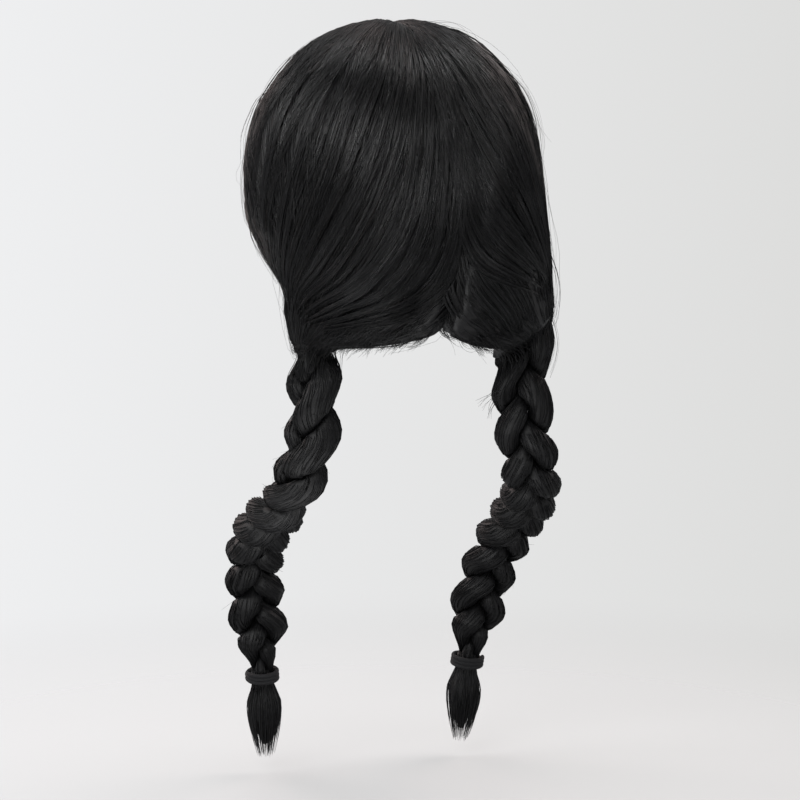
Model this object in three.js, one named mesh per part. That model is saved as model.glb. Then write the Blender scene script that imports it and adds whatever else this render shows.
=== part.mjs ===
// Long dark wig with a centre parting and two braids, sewn to a thin stretch cap.
// Millimetres, +Z up, the wearer's face looks to -Y, the wearer's left is +X.
// The origin is the middle of the cap's inner crown, where the top of the head rests.
import * as THREE from 'three';
import { mergeVertices } from 'three/addons/utils/BufferGeometryUtils.js';

// Head form inside the cap
const HEAD_WIDTH = 150;
const HEAD_LENGTH = 186;
const CROWN_HEIGHT = 90; // from the widest level of the head up to the crown
const LOWER_HEIGHT = 190; // from the widest level down to where the rounded form would close
const ROUNDNESS = 2.1; // 2 is an ellipsoid, more is squarer
const NAPE_TUCK = 0.17; // share by which the back comes in at the nape
const SIDE_SWEEP = 58; // how far back the middle of the sides lies at the level of the gathers
const SWEEP_START = 14; // below the widest level
const SWEEP_HEIGHT = 64;

// Cap
const CAP_WALL = 1.5;
const CAP_TO_HAIR = 1.2; // leaves about 0.3 at the flats of the facets

// Hair over the cap, measured from the head
const HAIR_SIDES = 20.5;
const HAIR_ENDS = 20; // front and back
const HAIR_TOP = 18;
const HAIR_LOWER = 15; // added to LOWER_HEIGHT
const EDGE_SHARE = 0.28; // thickness left at the free edges, as a share
const EDGE_WIDTH = 0.13; // width of the thinned edge, as a share of the fan
const LOCKS = 7; // locks in each half
const LOCK_DEPTH = 2.2;
const PARTING_DEPTH = 2.6;
const PARTING_WIDTH = 6;
const PARTING_LOW_SHARE = 0.1; // of its depth, left low on the back
const PARTING_SHARP = 30; // from the origin down the back, as far as the parting stays sharp
const PARTING_FADE = 50; // length over which it then grows shallow
const PIECE_GAP = 0.3;
const HALVES_MEET = 0.79; // share of the back strand's length along which the two halves meet

// Gathers, where each half becomes a bundle and the braid starts
const GATHER_OUT = 71.5;
const GATHER_BACK = 57;
const GATHER_WIDE = 16.5; // half width
const GATHER_DEEP = 15.5; // half depth
const WAIST_START = 0.91; // share of a strand's length after which it draws in or spreads to the gather's waist
const WAIST_LENGTH = 23; // over which the braid comes back to its full width
const LEFT_GATHER_DROP = 197; // below the origin
const LEFT_GATHER_TILT = -2; // outer side up, inner side down
const LEFT_GATHER_WAIST = 0.76; // share of the gather's width where the braid starts
const LEFT_GATHER_SWAY = 2.5; // how far the gather and the top of its braid swing out
const RIGHT_GATHER_DROP = 189;
const RIGHT_GATHER_TILT = 13;
const RIGHT_GATHER_WAIST = 1.2;
const RIGHT_GATHER_SWAY = -1.2;

// Braids
const BRAID_DROP = 424; // level of the ends of the braid strands, below the origin
const STRAND_SWING = 9.5; // sideways reach of a strand's middle line
const STRAND_WEAVE = 4.3; // its reach in depth
const STRAND_WIDE = 10.2; // half width of a free strand
const STRAND_DEEP = 11.4; // half depth
const STRAND_GAP = 2.4; // between middle faces, at the facets it comes down to about 0.3
const STRAND_SOFT = 4; // how square the flattened sections are
const TURN_LENGTH_TOP = 122; // length of one full braid turn at the top
const TURN_LENGTH_LOW = 84;
const TURN_EASE = 85; // length over which the turns shorten
const LEFT_START_TURN = 0.29; // radians
const RIGHT_START_TURN = 0.9;
const LEFT_FACING = 92; // degrees back from straight out, direction of the braid's width at its top
const RIGHT_FACING = 22;
const FRONT_FACING = 0; // the same on the chest
const UPRIGHT_LENGTH = 30; // over which the sections turn from level to square with the braid
const LEAN_LENGTH = 60; // over which the braid loses the tilt of its gather
const JOIN_LENGTH = 10; // over which the top of a strand draws back from the gather
const NARROW_LENGTH = 34; // over which the braid narrows to the tie
const NARROW_WIDE = 0.36;
const NARROW_DEEP = 0.5;

// Ties and tails
const TIE_RADIUS = 8.9; // inner
const TIE_THICK = 2.6;
const TIE_HEIGHT = 10;
const TIE_COILS = 3;
const TAIL_LENGTH = 58;
const TAIL_RADIUS = 12.5;
const TAIL_NECK = 7.6;
const TAIL_LOCKS = 4;

// Colours
const HAIR_COLOUR = 0x1c1b1e;
const BRAID_COLOUR = 0x1a191c;
const CAP_COLOUR = 0x141416;
const TIE_COLOUR = 0x0f0f11;

// Fan of strands of each half, from the front hairline to the middle of the back.
// root: angle of the strand's root along the parting, degrees back from the top.
// side, back, up: the point the strand bends towards, as shares of the hair's half sizes.
// pull: how hard it bends there. free: share of its length after which it leaves the head for the gather.
const LEFT_FAN = [
  { root: -60, side: 0.84, back: -0.57, up: -0.23, pull: 1.5, free: 0.71 },
  { root: -32, side: 1.25, back: 0.02, up: 0.13, pull: 0.36, free: 0.83 },
  { root: 0, side: 0.98, back: 0.88, up: 0.84, pull: 1.9, free: 0.46 },
  { root: 9, side: 0.12, back: 1.9, up: -0.52, pull: 2.3, free: 0.59 },
  { root: 18, side: 0, back: 0.9, up: -0.99, pull: 22, free: 0.8 },
];
const RIGHT_FAN = [
  { root: -60, side: 0.9, back: -0.64, up: -0.23, pull: 1.1, free: 0.41 },
  { root: -35, side: 1.17, back: -0.52, up: 0.1, pull: 1.36, free: 0.73 },
  { root: -17, side: 0.95, back: 0.83, up: 1.62, pull: 1.1, free: 0.62 },
  { root: 5, side: 0.24, back: 1.52, up: -0.12, pull: 5, free: 0.3 },
  { root: 18, side: 0, back: 0.9, up: -0.99, pull: 22, free: 0.89 },
];

// Path of a braid below its gather.
// out: share of GATHER_OUT; back: share of GATHER_BACK; down: share of the way from gather to braid end.
const BRAID_PATH = [
  { out: 1, back: 1, down: 0 },
  { out: 0.99, back: 1.01, down: 0.13 },
  { out: 1.02, back: 1.0, down: 0.26 },
  { out: 1.12, back: 0.86, down: 0.37 },
  { out: 1.22, back: 0.56, down: 0.45 },
  { out: 1.27, back: 0.1, down: 0.52 },
  { out: 1.25, back: -0.36, down: 0.61 },
  { out: 1.18, back: -0.68, down: 0.73 },
  { out: 1.1, back: -0.84, down: 0.87 },
  { out: 1.05, back: -0.93, down: 1 },
];

// Lower rim of the cap: share of the crown height above (+) or of the lower height below (-) the widest level.
const CAP_RIM = [
  { turn: 0, level: 0.44 },
  { turn: 40, level: 0.3 },
  { turn: 70, level: -0.03 },
  { turn: 95, level: 0.02 },
  { turn: 125, level: -0.04 },
  { turn: 155, level: -0.16 },
  { turn: 180, level: -0.27 },
];

// Facets
const FAN_STEPS = 28;
const LENGTH_SHARES = [0, 0.015, 0.035, 0.07, 0.13, 0.21, 0.3, 0.39, 0.48, 0.57, 0.65, 0.72, 0.78, 0.84, 0.9, 0.95, 1];
const CAP_TURN_STEPS = 28;
const CAP_LEVEL_STEPS = 7;
const STRAND_SIDES = 7;
const STRAND_STEPS = 76;
const TIE_TURN_STEPS = 14;
const TAIL_SIDES = 12;
const LINE_STEP = 0.25; // of the search along a braid's middle line
const SLOPE_REACH = 2; // to each side of a point, for the direction there
const TAIL_SHARES = [0, 0.06, 0.14, 0.24, 0.36, 0.52, 0.68, 0.84, 0.95, 1];

const clamp = (x, low, high) => Math.min(high, Math.max(low, x));
const mix = (a, b, share) => a + (b - a) * share;
const ease = (a, b, x) => {
  const share = clamp((x - a) / (b - a), 0, 1);
  return share * share * (3 - 2 * share);
};

// Smooth curve through the rows of a table, evenly spaced, for one column.
function along(rows, column, share) {
  const last = rows.length - 1;
  const place = clamp(share, 0, 1) * last;
  const row = Math.min(last - 1, Math.floor(place));
  const f = place - row;
  const at = (i) => rows[clamp(i, 0, last)][column];
  const [a, b, c, d] = [at(row - 1), at(row), at(row + 1), at(row + 2)];
  return 0.5 * (2 * b + (c - a) * f + (2 * a - 5 * b + 4 * c - d) * f * f + (3 * b - a - 3 * c + d) * f ** 3);
}

const withLogs = (fan) => fan.map((row) => ({ ...row, pullLog: Math.log(row.pull) }));

// Half sizes of a rounded form that lies `out` outside the head.
function formSizes(sides, ends, top, lower) {
  return { side: HEAD_WIDTH / 2 + sides, end: HEAD_LENGTH / 2 + ends, up: CROWN_HEIGHT + top, down: LOWER_HEIGHT + lower };
}
const CAP_INNER = formSizes(0, 0, 0, 0);
const CAP_OUTER = formSizes(CAP_WALL, CAP_WALL, CAP_WALL, CAP_WALL);
const HAIR_OFF = CAP_WALL + CAP_TO_HAIR;
const HAIR_INNER = formSizes(HAIR_OFF, HAIR_OFF, HAIR_OFF, HAIR_OFF);
const HAIR_OUTER = formSizes(HAIR_SIDES, HAIR_ENDS, HAIR_TOP, HAIR_LOWER);
const MIDDLE = new THREE.Vector3(0, 0, -CROWN_HEIGHT);

// Point of the rounded form in the direction of p from the middle of the head.
// Below the widest level the back comes in to the nape and the sides sweep back to the gathers.
function onForm(p, form) {
  const d = p.clone().sub(MIDDLE);
  const round = Math.hypot(d.x / form.side, d.y / form.end);
  const tall = Math.abs(d.z) / (d.z > 0 ? form.up : form.down);
  d.divideScalar((round ** ROUNDNESS + tall ** ROUNDNESS) ** (1 / ROUNDNESS));
  const back = form.end * (1 - NAPE_TUCK * ease(0, CROWN_HEIGHT * 1.1, -d.z));
  const middle = SIDE_SWEEP * ease(SWEEP_START, SWEEP_START + SWEEP_HEIGHT, -d.z);
  return new THREE.Vector3(d.x, middle + (d.y * (back - middle)) / form.end, d.z - CROWN_HEIGHT);
}

// Point on the rim of a gather, degrees from the outer side towards the back.
function gatherRim(gather, angle) {
  const a = (angle * Math.PI) / 180;
  return new THREE.Vector3(
    GATHER_OUT + gather.sway + GATHER_WIDE * Math.cos(a),
    GATHER_BACK + GATHER_DEEP * Math.sin(a),
    -gather.drop + gather.tilt * Math.cos(a),
  );
}

// One strand of a fan as points from root to gather, free of the head (a weighted three-point curve).
function fanStrand(fan, s, gather) {
  const turn = (along(fan, 'root', s) * Math.PI) / 180;
  const root = onForm(new THREE.Vector3(0, Math.sin(turn), Math.cos(turn)).multiplyScalar(CROWN_HEIGHT).add(MIDDLE), HAIR_OUTER);
  const up = along(fan, 'up', s);
  const bend = new THREE.Vector3(
    along(fan, 'side', s) * HAIR_OUTER.side,
    along(fan, 'back', s) * HAIR_OUTER.end,
    up * (up > 0 ? HAIR_OUTER.up : HAIR_OUTER.up * 0.93) - CROWN_HEIGHT,
  );
  const end = gatherRim(gather, -95 + 210 * s);
  const pull = Math.exp(along(fan, 'pullLog', s));
  const fine = [];
  let length = 0;
  let last = null;
  for (let i = 0; i <= 240; i++) {
    const u = i / 240;
    const weights = [(1 - u) ** 2, 2 * u * (1 - u) * pull, u * u];
    const sum = weights[0] + weights[1] + weights[2];
    const p = new THREE.Vector3();
    p.addScaledVector(root, weights[0] / sum).addScaledVector(bend, weights[1] / sum).addScaledVector(end, weights[2] / sum);
    const shown = onForm(p, HAIR_OUTER);
    if (last) length += shown.distanceTo(last);
    last = shown;
    fine.push({ p, length });
  }
  return LENGTH_SHARES.map((share) => {
    const wanted = share * length;
    let i = 1;
    while (i < fine.length - 1 && fine[i].length < wanted) i++;
    const span = fine[i].length - fine[i - 1].length || 1;
    return fine[i - 1].p.clone().lerp(fine[i].p, clamp((wanted - fine[i - 1].length) / span, 0, 1));
  });
}

// Mesh from a closed grid or from point rows: quads are split in two.
class Surface {
  constructor() {
    this.points = [];
    this.faces = [];
  }
  add(p) {
    this.points.push(p);
    return this.points.length - 1;
  }
  quad(a, b, c, d) {
    this.faces.push([a, b, c], [a, c, d]);
  }
  mesh(name, colour, mirrored) {
    const position = new Float32Array(this.points.length * 3);
    this.points.forEach((p, i) => position.set([mirrored ? -p.x : p.x, p.y, p.z], 3 * i));
    const index = this.faces.flatMap(([a, b, c]) => (mirrored ? [a, c, b] : [a, b, c]));
    let geometry = new THREE.BufferGeometry();
    geometry.setAttribute('position', new THREE.BufferAttribute(position, 3));
    geometry.setIndex(index);
    geometry = mergeVertices(geometry, 1e-4);
    geometry.computeVertexNormals();
    const mesh = new THREE.Mesh(geometry, new THREE.MeshStandardMaterial({ color: colour, roughness: 0.55, side: THREE.FrontSide }));
    mesh.name = name;
    return mesh;
  }
}

// Half of the hair: an outer sheet with locks, an inner sheet on the cap, closed along the parting, the edges and
// the gather.
function hairHalf(name, { fan, gather, mirrored }) {
  const lines = [];
  for (let i = 0; i <= FAN_STEPS; i++) lines.push(fanStrand(fan, i / FAN_STEPS, gather));
  const rows = LENGTH_SHARES.length;
  const half = PIECE_GAP / 2;
  const inner = [];
  const base = [];
  lines.forEach((line, i) => {
    const s = i / FAN_STEPS;
    const shift = gatherRim(gather, -105 - 130 * s).sub(gatherRim(gather, -95 + 210 * s));
    const rim = Math.min(1, s / EDGE_WIDTH);
    const hem = Math.min(1, (1 - s) / EDGE_WIDTH);
    const round = (x) => mix(EDGE_SHARE, 1, Math.sqrt(Math.max(0, 1 - (1 - x) ** 2)));
    inner.push([]);
    base.push([]);
    line.forEach((p, j) => {
      const t = LENGTH_SHARES[j];
      const free = ease(along(fan, 'free', s), 1, t);
      const low = onForm(p, HAIR_INNER).lerp(p.clone().add(shift), free ** 1.6);
      const high = onForm(p, HAIR_OUTER).lerp(p, free);
      for (const q of [low, high]) {
        const waist = mix(1, gather.waist, ease(WAIST_START, 1, t));
        q.x = mix(GATHER_OUT + gather.sway, q.x, waist);
        q.y = mix(GATHER_BACK, q.y, waist);
      }
      const nape = mix(1, round(hem), ease(0.6, 0.76, t));
      const thin = mix(Math.min(round(rim), nape), 1, ease(0.75, 1, t));
      inner[i].push(low);
      base[i].push(low.clone().lerp(high, thin));
    });
  });
  const outer = base.map((line, i) =>
    line.map((p, j) => {
      const across = base[Math.min(FAN_STEPS, i + 1)][Math.max(j, 1)].clone().sub(base[Math.max(0, i - 1)][Math.max(j, 1)]);
      const down = line[Math.min(rows - 1, j + 1)].clone().sub(line[Math.max(0, j - 1)]);
      const normal = down.cross(across).normalize();
      if (normal.dot(p.clone().sub(MIDDLE)) < 0) normal.negate();
      const s = i / FAN_STEPS;
      const t = LENGTH_SHARES[j];
      const lock = (Math.abs(Math.sin(Math.PI * LOCKS * s)) - 0.6) * LOCK_DEPTH * ease(0, 0.35, t) * (1 - 0.7 * ease(0.93, 1, t));
      const edge = ease(0, 0.05, s) * ease(0, 0.05, 1 - s);
      const fromTop = Math.hypot(p.z, Math.max(0, p.y));
      const sharp = 1 - ease(PARTING_SHARP, PARTING_SHARP + PARTING_FADE, fromTop);
      const groove = PARTING_DEPTH * Math.exp(-((p.x / PARTING_WIDTH) ** 2)) * mix(PARTING_LOW_SHARE, 1, sharp) * (1 - ease(0.6, 0.75, t));
      return p.clone().addScaledVector(normal, lock * edge - groove);
    }),
  );
  const surface = new Surface();
  const keep = (p, i, j) => {
    const onMiddle = j === 0 || (i === FAN_STEPS && LENGTH_SHARES[j] < HALVES_MEET);
    p.x = onMiddle ? half : Math.max(half, p.x);
    return surface.add(p);
  };
  const a = outer.map((line, i) => line.map((p, j) => keep(p, i, j)));
  const b = inner.map((line, i) => line.map((p, j) => keep(p, i, j)));
  for (let i = 0; i < FAN_STEPS; i++) {
    for (let j = 0; j < rows - 1; j++) {
      surface.quad(a[i][j], a[i][j + 1], a[i + 1][j + 1], a[i + 1][j]);
      surface.quad(b[i][j], b[i + 1][j], b[i + 1][j + 1], b[i][j + 1]);
    }
    surface.quad(a[i][0], a[i + 1][0], b[i + 1][0], b[i][0]);
    surface.quad(a[i][rows - 1], b[i][rows - 1], b[i + 1][rows - 1], a[i + 1][rows - 1]);
  }
  for (let j = 0; j < rows - 1; j++) {
    surface.quad(a[0][j], b[0][j], b[0][j + 1], a[0][j + 1]);
    surface.quad(a[FAN_STEPS][j], a[FAN_STEPS][j + 1], b[FAN_STEPS][j + 1], b[FAN_STEPS][j]);
  }
  return surface.mesh(name, HAIR_COLOUR, mirrored);
}

// Thin dome with a rim that follows the hairline.
function cap(name) {
  const surface = new Surface();
  const ring = (form, level) => {
    const ids = [];
    for (let i = 0; i < CAP_TURN_STEPS; i++) {
      const turn = (i / CAP_TURN_STEPS) * 360;
      const fold = turn > 180 ? 360 - turn : turn;
      let row = 0;
      while (CAP_RIM[row + 1].turn < fold) row++;
      const share = (fold - CAP_RIM[row].turn) / (CAP_RIM[row + 1].turn - CAP_RIM[row].turn);
      const rim = mix(CAP_RIM[row].level, CAP_RIM[row + 1].level, ease(0, 1, share));
      const low = Math.acos(clamp(rim > 0 ? rim : 0, 0, 1)) + (rim < 0 ? Math.atan((-rim * LOWER_HEIGHT) / (HEAD_WIDTH / 2)) : 0);
      const tip = (level / CAP_LEVEL_STEPS) * low;
      const a = (turn * Math.PI) / 180;
      const d = new THREE.Vector3(Math.sin(a) * Math.sin(tip), -Math.cos(a) * Math.sin(tip), Math.cos(tip));
      ids.push(surface.add(onForm(d.multiplyScalar(CROWN_HEIGHT).add(MIDDLE), form)));
    }
    return ids;
  };
  const sheets = [CAP_OUTER, CAP_INNER].map((form) => {
    const pole = surface.add(onForm(new THREE.Vector3(0, 0, CROWN_HEIGHT), form));
    const rings = [];
    for (let level = 1; level <= CAP_LEVEL_STEPS; level++) rings.push(ring(form, level));
    return { pole, rings };
  });
  const flip = (out, a, b, c, d) => (out ? surface.quad(a, b, c, d) : surface.quad(d, c, b, a));
  sheets.forEach(({ pole, rings }, k) => {
    for (let i = 0; i < CAP_TURN_STEPS; i++) {
      const n = (i + 1) % CAP_TURN_STEPS;
      surface.faces.push(k === 0 ? [pole, rings[0][i], rings[0][n]] : [pole, rings[0][n], rings[0][i]]);
      for (let r = 0; r < rings.length - 1; r++) flip(k === 0, rings[r][i], rings[r + 1][i], rings[r + 1][n], rings[r][n]);
    }
  });
  const last = CAP_LEVEL_STEPS - 1;
  for (let i = 0; i < CAP_TURN_STEPS; i++) {
    const n = (i + 1) % CAP_TURN_STEPS;
    surface.quad(sheets[0].rings[last][i], sheets[1].rings[last][i], sheets[1].rings[last][n], sheets[0].rings[last][n]);
  }
  return surface.mesh(name, CAP_COLOUR, false);
}

// Middle line of a braid with its directions: points evenly spaced by length.
function braidLine({ gather, facing }, steps) {
  const fine = [];
  let length = 0;
  for (let i = 0; i <= 400; i++) {
    const share = i / 400;
    const p = new THREE.Vector3(
      GATHER_OUT * along(BRAID_PATH, 'out', share) + gather.sway * (1 - ease(0.25, 0.5, share)),
      GATHER_BACK * along(BRAID_PATH, 'back', share),
      -mix(gather.drop, BRAID_DROP, along(BRAID_PATH, 'down', share)),
    );
    if (i) length += p.distanceTo(fine[i - 1].p);
    fine.push({ p, length });
  }
  const at = (wanted) => {
    let i = 1;
    while (i < fine.length - 1 && fine[i].length < wanted) i++;
    return fine[i - 1].p.clone().lerp(fine[i].p, (wanted - fine[i - 1].length) / (fine[i].length - fine[i - 1].length));
  };
  const line = [];
  const whole = weaveTurn(0, length);
  let l = 0;
  for (let i = 0; i <= steps; i++) {
    while (i > 0 && l < length && weaveTurn(0, l) < (i / steps) * whole) l += LINE_STEP;
    l = i === steps ? length : Math.min(l, length);
    const p = at(l);
    const down = at(Math.min(length, l + SLOPE_REACH)).sub(at(Math.max(0, l - SLOPE_REACH))).normalize();
    down.lerp(new THREE.Vector3(0, 0, -1), 1 - ease(0, UPRIGHT_LENGTH, l)).normalize();
    const a = (mix(facing, FRONT_FACING, ease(0.25, 0.6, l / length)) * Math.PI) / 180;
    const wide = new THREE.Vector3(Math.cos(a), Math.sin(a), 0);
    wide.addScaledVector(down, -wide.dot(down)).normalize();
    const deep = wide.clone().cross(down);
    line.push({ p, down, wide, deep, l, length });
  }
  return line;
}

// Angle of the weave after length l, with turns that shorten from the top.
function weaveTurn(start, l) {
  let turn = start;
  const step = 1;
  for (let x = 0; x < l; x += step) {
    const full = mix(TURN_LENGTH_TOP, TURN_LENGTH_LOW, clamp(x / TURN_EASE, 0, 1));
    turn += (2 * Math.PI * Math.min(step, l - x)) / full;
  }
  return turn;
}

// Outline of strand k at one station of the braid: free it is oval, beside its neighbours it flattens half way to them.
function strandOutline(turn, k, narrowWide, narrowDeep) {
  const centre = (j) => {
    const a = turn + (j * 2 * Math.PI) / 3;
    return [STRAND_SWING * narrowWide * Math.sin(a), STRAND_WEAVE * narrowDeep * Math.sin(2 * a)];
  };
  const own = centre(k);
  const others = [centre(k + 1), centre(k + 2)].map(([x, y]) => {
    const [dx, dy] = [x - own[0], y - own[1]];
    const away = Math.hypot(dx, dy);
    return { x: dx / away, y: dy / away, half: away / 2 - STRAND_GAP / 2 };
  });
  const outline = [];
  for (let i = 0; i < STRAND_SIDES; i++) {
    const a = ((i + 0.5) / STRAND_SIDES) * 2 * Math.PI;
    const [x, y] = [Math.cos(a), Math.sin(a)];
    let sum = Math.hypot(x / (STRAND_WIDE * narrowWide), y / (STRAND_DEEP * narrowDeep)) ** STRAND_SOFT;
    for (const o of others) sum += Math.max(0, (x * o.x + y * o.y) / o.half) ** STRAND_SOFT;
    const r = sum ** (-1 / STRAND_SOFT);
    outline.push([own[0] + r * x, own[1] + r * y]);
  }
  return { own, outline };
}

function braidStrand(name, side, k) {
  const surface = new Surface();
  const line = braidLine(side, STRAND_STEPS);
  const { gather } = side;
  const rings = line.map(({ p, down, wide, deep, l, length }) => {
    const narrow = ease(0, 1, (l - (length - NARROW_LENGTH)) / (NARROW_LENGTH - TIE_HEIGHT / 2));
    const waist = mix(gather.waist, 1, ease(0, WAIST_LENGTH, l));
    const wideShare = waist * mix(1, NARROW_WIDE, narrow);
    const deepShare = waist * mix(1, NARROW_DEEP, narrow);
    const { own, outline } = strandOutline(weaveTurn(side.turn, l), k, wideShare, deepShare);
    const place = ([x, y]) => {
      const q = p.clone().addScaledVector(wide, x).addScaledVector(deep, y);
      const lean = (gather.tilt * (q.x - GATHER_OUT - gather.sway)) / (GATHER_WIDE * gather.waist);
      q.z += lean * (1 - ease(0, LEAN_LENGTH, l)) - 2 * PIECE_GAP * (1 - ease(0, JOIN_LENGTH, l));
      return q;
    };
    return { centre: surface.add(place(own)), ids: outline.map((o) => surface.add(place(o))) };
  });
  const last = rings.length - 1;
  for (let i = 0; i < STRAND_SIDES; i++) {
    const n = (i + 1) % STRAND_SIDES;
    surface.faces.push([rings[0].centre, rings[0].ids[i], rings[0].ids[n]]);
    surface.faces.push([rings[last].centre, rings[last].ids[n], rings[last].ids[i]]);
    for (let r = 0; r < last; r++) surface.quad(rings[r].ids[n], rings[r].ids[i], rings[r + 1].ids[i], rings[r + 1].ids[n]);
  }
  const used = new Set(surface.faces.flat());
  const order = [...used];
  const renamed = new Map(order.map((id, i) => [id, i]));
  surface.points = order.map((id) => surface.points[id]);
  surface.faces = surface.faces.map((f) => f.map((id) => renamed.get(id)));
  return surface.mesh(name, BRAID_COLOUR, side.mirrored);
}

// End of a braid: the place and directions that the tie and the tail share.
function braidEnd(side) {
  const line = braidLine(side, STRAND_STEPS);
  return line[line.length - 1];
}

// Elastic tie: a ring of coils round the braid's end.
function tie(name, side) {
  const end = braidEnd(side);
  const surface = new Surface();
  const profile = [];
  const half = TIE_HEIGHT / 2;
  profile.push([TIE_RADIUS, -half], [TIE_RADIUS, half]);
  for (let c = TIE_COILS - 1; c >= 0; c--) {
    for (const share of [0.95, 0.5, 0.05]) {
      const level = -half + ((c + share) * TIE_HEIGHT) / TIE_COILS;
      profile.push([TIE_RADIUS + TIE_THICK * (share === 0.5 ? 1 : 0.62), level]);
    }
  }
  const rings = [];
  for (let i = 0; i < TIE_TURN_STEPS; i++) {
    const a = (i / TIE_TURN_STEPS) * 2 * Math.PI;
    rings.push(
      profile.map(([r, level]) =>
        surface.add(
          end.p
            .clone()
            .addScaledVector(end.wide, r * Math.cos(a))
            .addScaledVector(end.deep, r * Math.sin(a))
            .addScaledVector(end.down, -level),
        ),
      ),
    );
  }
  for (let i = 0; i < TIE_TURN_STEPS; i++) {
    const n = (i + 1) % TIE_TURN_STEPS;
    profile.forEach((_, j) => {
      const m = (j + 1) % profile.length;
      surface.quad(rings[i][j], rings[i][m], rings[n][m], rings[n][j]);
    });
  }
  return surface.mesh(name, TIE_COLOUR, side.mirrored);
}

// Loose tail below the tie: swells, then tapers to a point.
function tail(name, side) {
  const end = braidEnd(side);
  const surface = new Surface();
  const fall = end.down.clone().lerp(new THREE.Vector3(0, 0, -1), 0.5).normalize();
  const rings = TAIL_SHARES.slice(0, -1).map((share) => {
    const swell = mix(TAIL_NECK, TAIL_RADIUS, ease(0.08, 0.36, share)) * (1 - 0.72 * ease(0.4, 1.05, share));
    const centre = end.p.clone().addScaledVector(end.down, PIECE_GAP + Math.min(share, 0.14) * TAIL_LENGTH);
    centre.addScaledVector(fall, Math.max(0, share - 0.14) * TAIL_LENGTH);
    const ids = [];
    for (let i = 0; i < TAIL_SIDES; i++) {
      const a = (i / TAIL_SIDES) * 2 * Math.PI;
      const r = swell * (1 - 0.13 * ease(0.12, 0.3, share) * (i % (TAIL_SIDES / TAIL_LOCKS) === 0 ? 1 : 0));
      ids.push(
        surface.add(centre.clone().addScaledVector(end.wide, r * Math.cos(a)).addScaledVector(end.deep, 0.86 * r * Math.sin(a))),
      );
    }
    return ids;
  });
  const top = surface.add(end.p.clone().addScaledVector(end.down, PIECE_GAP));
  const tip = surface.add(
    end.p.clone().addScaledVector(end.down, PIECE_GAP + 0.14 * TAIL_LENGTH).addScaledVector(fall, 0.86 * TAIL_LENGTH),
  );
  const last = rings.length - 1;
  for (let i = 0; i < TAIL_SIDES; i++) {
    const n = (i + 1) % TAIL_SIDES;
    surface.faces.push([top, rings[0][i], rings[0][n]]);
    surface.faces.push([tip, rings[last][n], rings[last][i]]);
    for (let r = 0; r < last; r++) surface.quad(rings[r][n], rings[r][i], rings[r + 1][i], rings[r + 1][n]);
  }
  return surface.mesh(name, HAIR_COLOUR, side.mirrored);
}

const LEFT = {
  fan: withLogs(LEFT_FAN),
  gather: { drop: LEFT_GATHER_DROP, tilt: LEFT_GATHER_TILT, waist: LEFT_GATHER_WAIST, sway: LEFT_GATHER_SWAY },
  turn: LEFT_START_TURN,
  facing: LEFT_FACING,
  mirrored: false,
};
const RIGHT = {
  fan: withLogs(RIGHT_FAN),
  gather: { drop: RIGHT_GATHER_DROP, tilt: RIGHT_GATHER_TILT, waist: RIGHT_GATHER_WAIST, sway: RIGHT_GATHER_SWAY },
  turn: RIGHT_START_TURN,
  facing: RIGHT_FACING,
  mirrored: true,
};

const wig = new THREE.Group();
wig.name = 'wig';
wig.add(cap('wig_cap'));
wig.add(hairHalf('hair_left', LEFT));
wig.add(hairHalf('hair_right', RIGHT));
for (const [word, side] of [['left', LEFT], ['right', RIGHT]]) {
  ['a', 'b', 'c'].forEach((letter, k) => wig.add(braidStrand(`braid_${word}_strand_${letter}`, side, k)));
  wig.add(tie(`tie_${word}`, side));
  wig.add(tail(`tuft_${word}`, side));
}
export default wig;
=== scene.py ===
import bpy
import numpy as np
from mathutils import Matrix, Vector


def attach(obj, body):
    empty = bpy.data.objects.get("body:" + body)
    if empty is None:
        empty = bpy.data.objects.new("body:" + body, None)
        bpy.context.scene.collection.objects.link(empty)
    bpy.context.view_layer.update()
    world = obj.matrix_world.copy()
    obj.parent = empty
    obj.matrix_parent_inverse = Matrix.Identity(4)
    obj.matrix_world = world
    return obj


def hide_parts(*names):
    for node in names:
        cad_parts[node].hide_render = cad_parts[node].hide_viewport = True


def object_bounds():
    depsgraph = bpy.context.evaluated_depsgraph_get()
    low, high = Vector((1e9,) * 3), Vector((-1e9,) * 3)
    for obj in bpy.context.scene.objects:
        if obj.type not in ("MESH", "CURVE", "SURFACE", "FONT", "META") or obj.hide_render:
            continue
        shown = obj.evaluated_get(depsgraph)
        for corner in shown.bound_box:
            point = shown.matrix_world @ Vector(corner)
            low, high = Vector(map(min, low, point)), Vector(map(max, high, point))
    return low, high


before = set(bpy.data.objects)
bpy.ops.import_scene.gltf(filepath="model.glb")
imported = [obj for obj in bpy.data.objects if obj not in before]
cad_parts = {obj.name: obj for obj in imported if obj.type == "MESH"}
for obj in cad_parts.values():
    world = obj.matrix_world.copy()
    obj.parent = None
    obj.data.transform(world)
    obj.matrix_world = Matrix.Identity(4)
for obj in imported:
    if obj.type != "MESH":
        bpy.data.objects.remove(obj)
cad_low, cad_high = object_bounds()

# Stretch cap
# The cap is knitted from thin black stretch yarn and worn under all the hair. Rows of wefts are sewn round
# it, and a soft elastic band closes its rim.
HEAD_WIDTH = 0.150
HEAD_LENGTH = 0.186
CROWN_HEIGHT = 0.090  # from the widest level of the head up to the crown
LOWER_HEIGHT = 0.190  # from the widest level down to where the rounded form would close
ROUNDNESS = 2.1
NAPE_TUCK = 0.17  # share by which the back of the form tucks in at the nape
TUCK_HEIGHT = 0.099  # below the widest level, where the back is tucked in fully
SIDE_SWEEP = 0.058  # how far the sides sweep back low down
SWEEP_START = 0.014
SWEEP_HEIGHT = 0.064
HEAD_MIDDLE = np.array([0.0, 0.0, -CROWN_HEIGHT])
CAP_WALL = 0.0015
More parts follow.
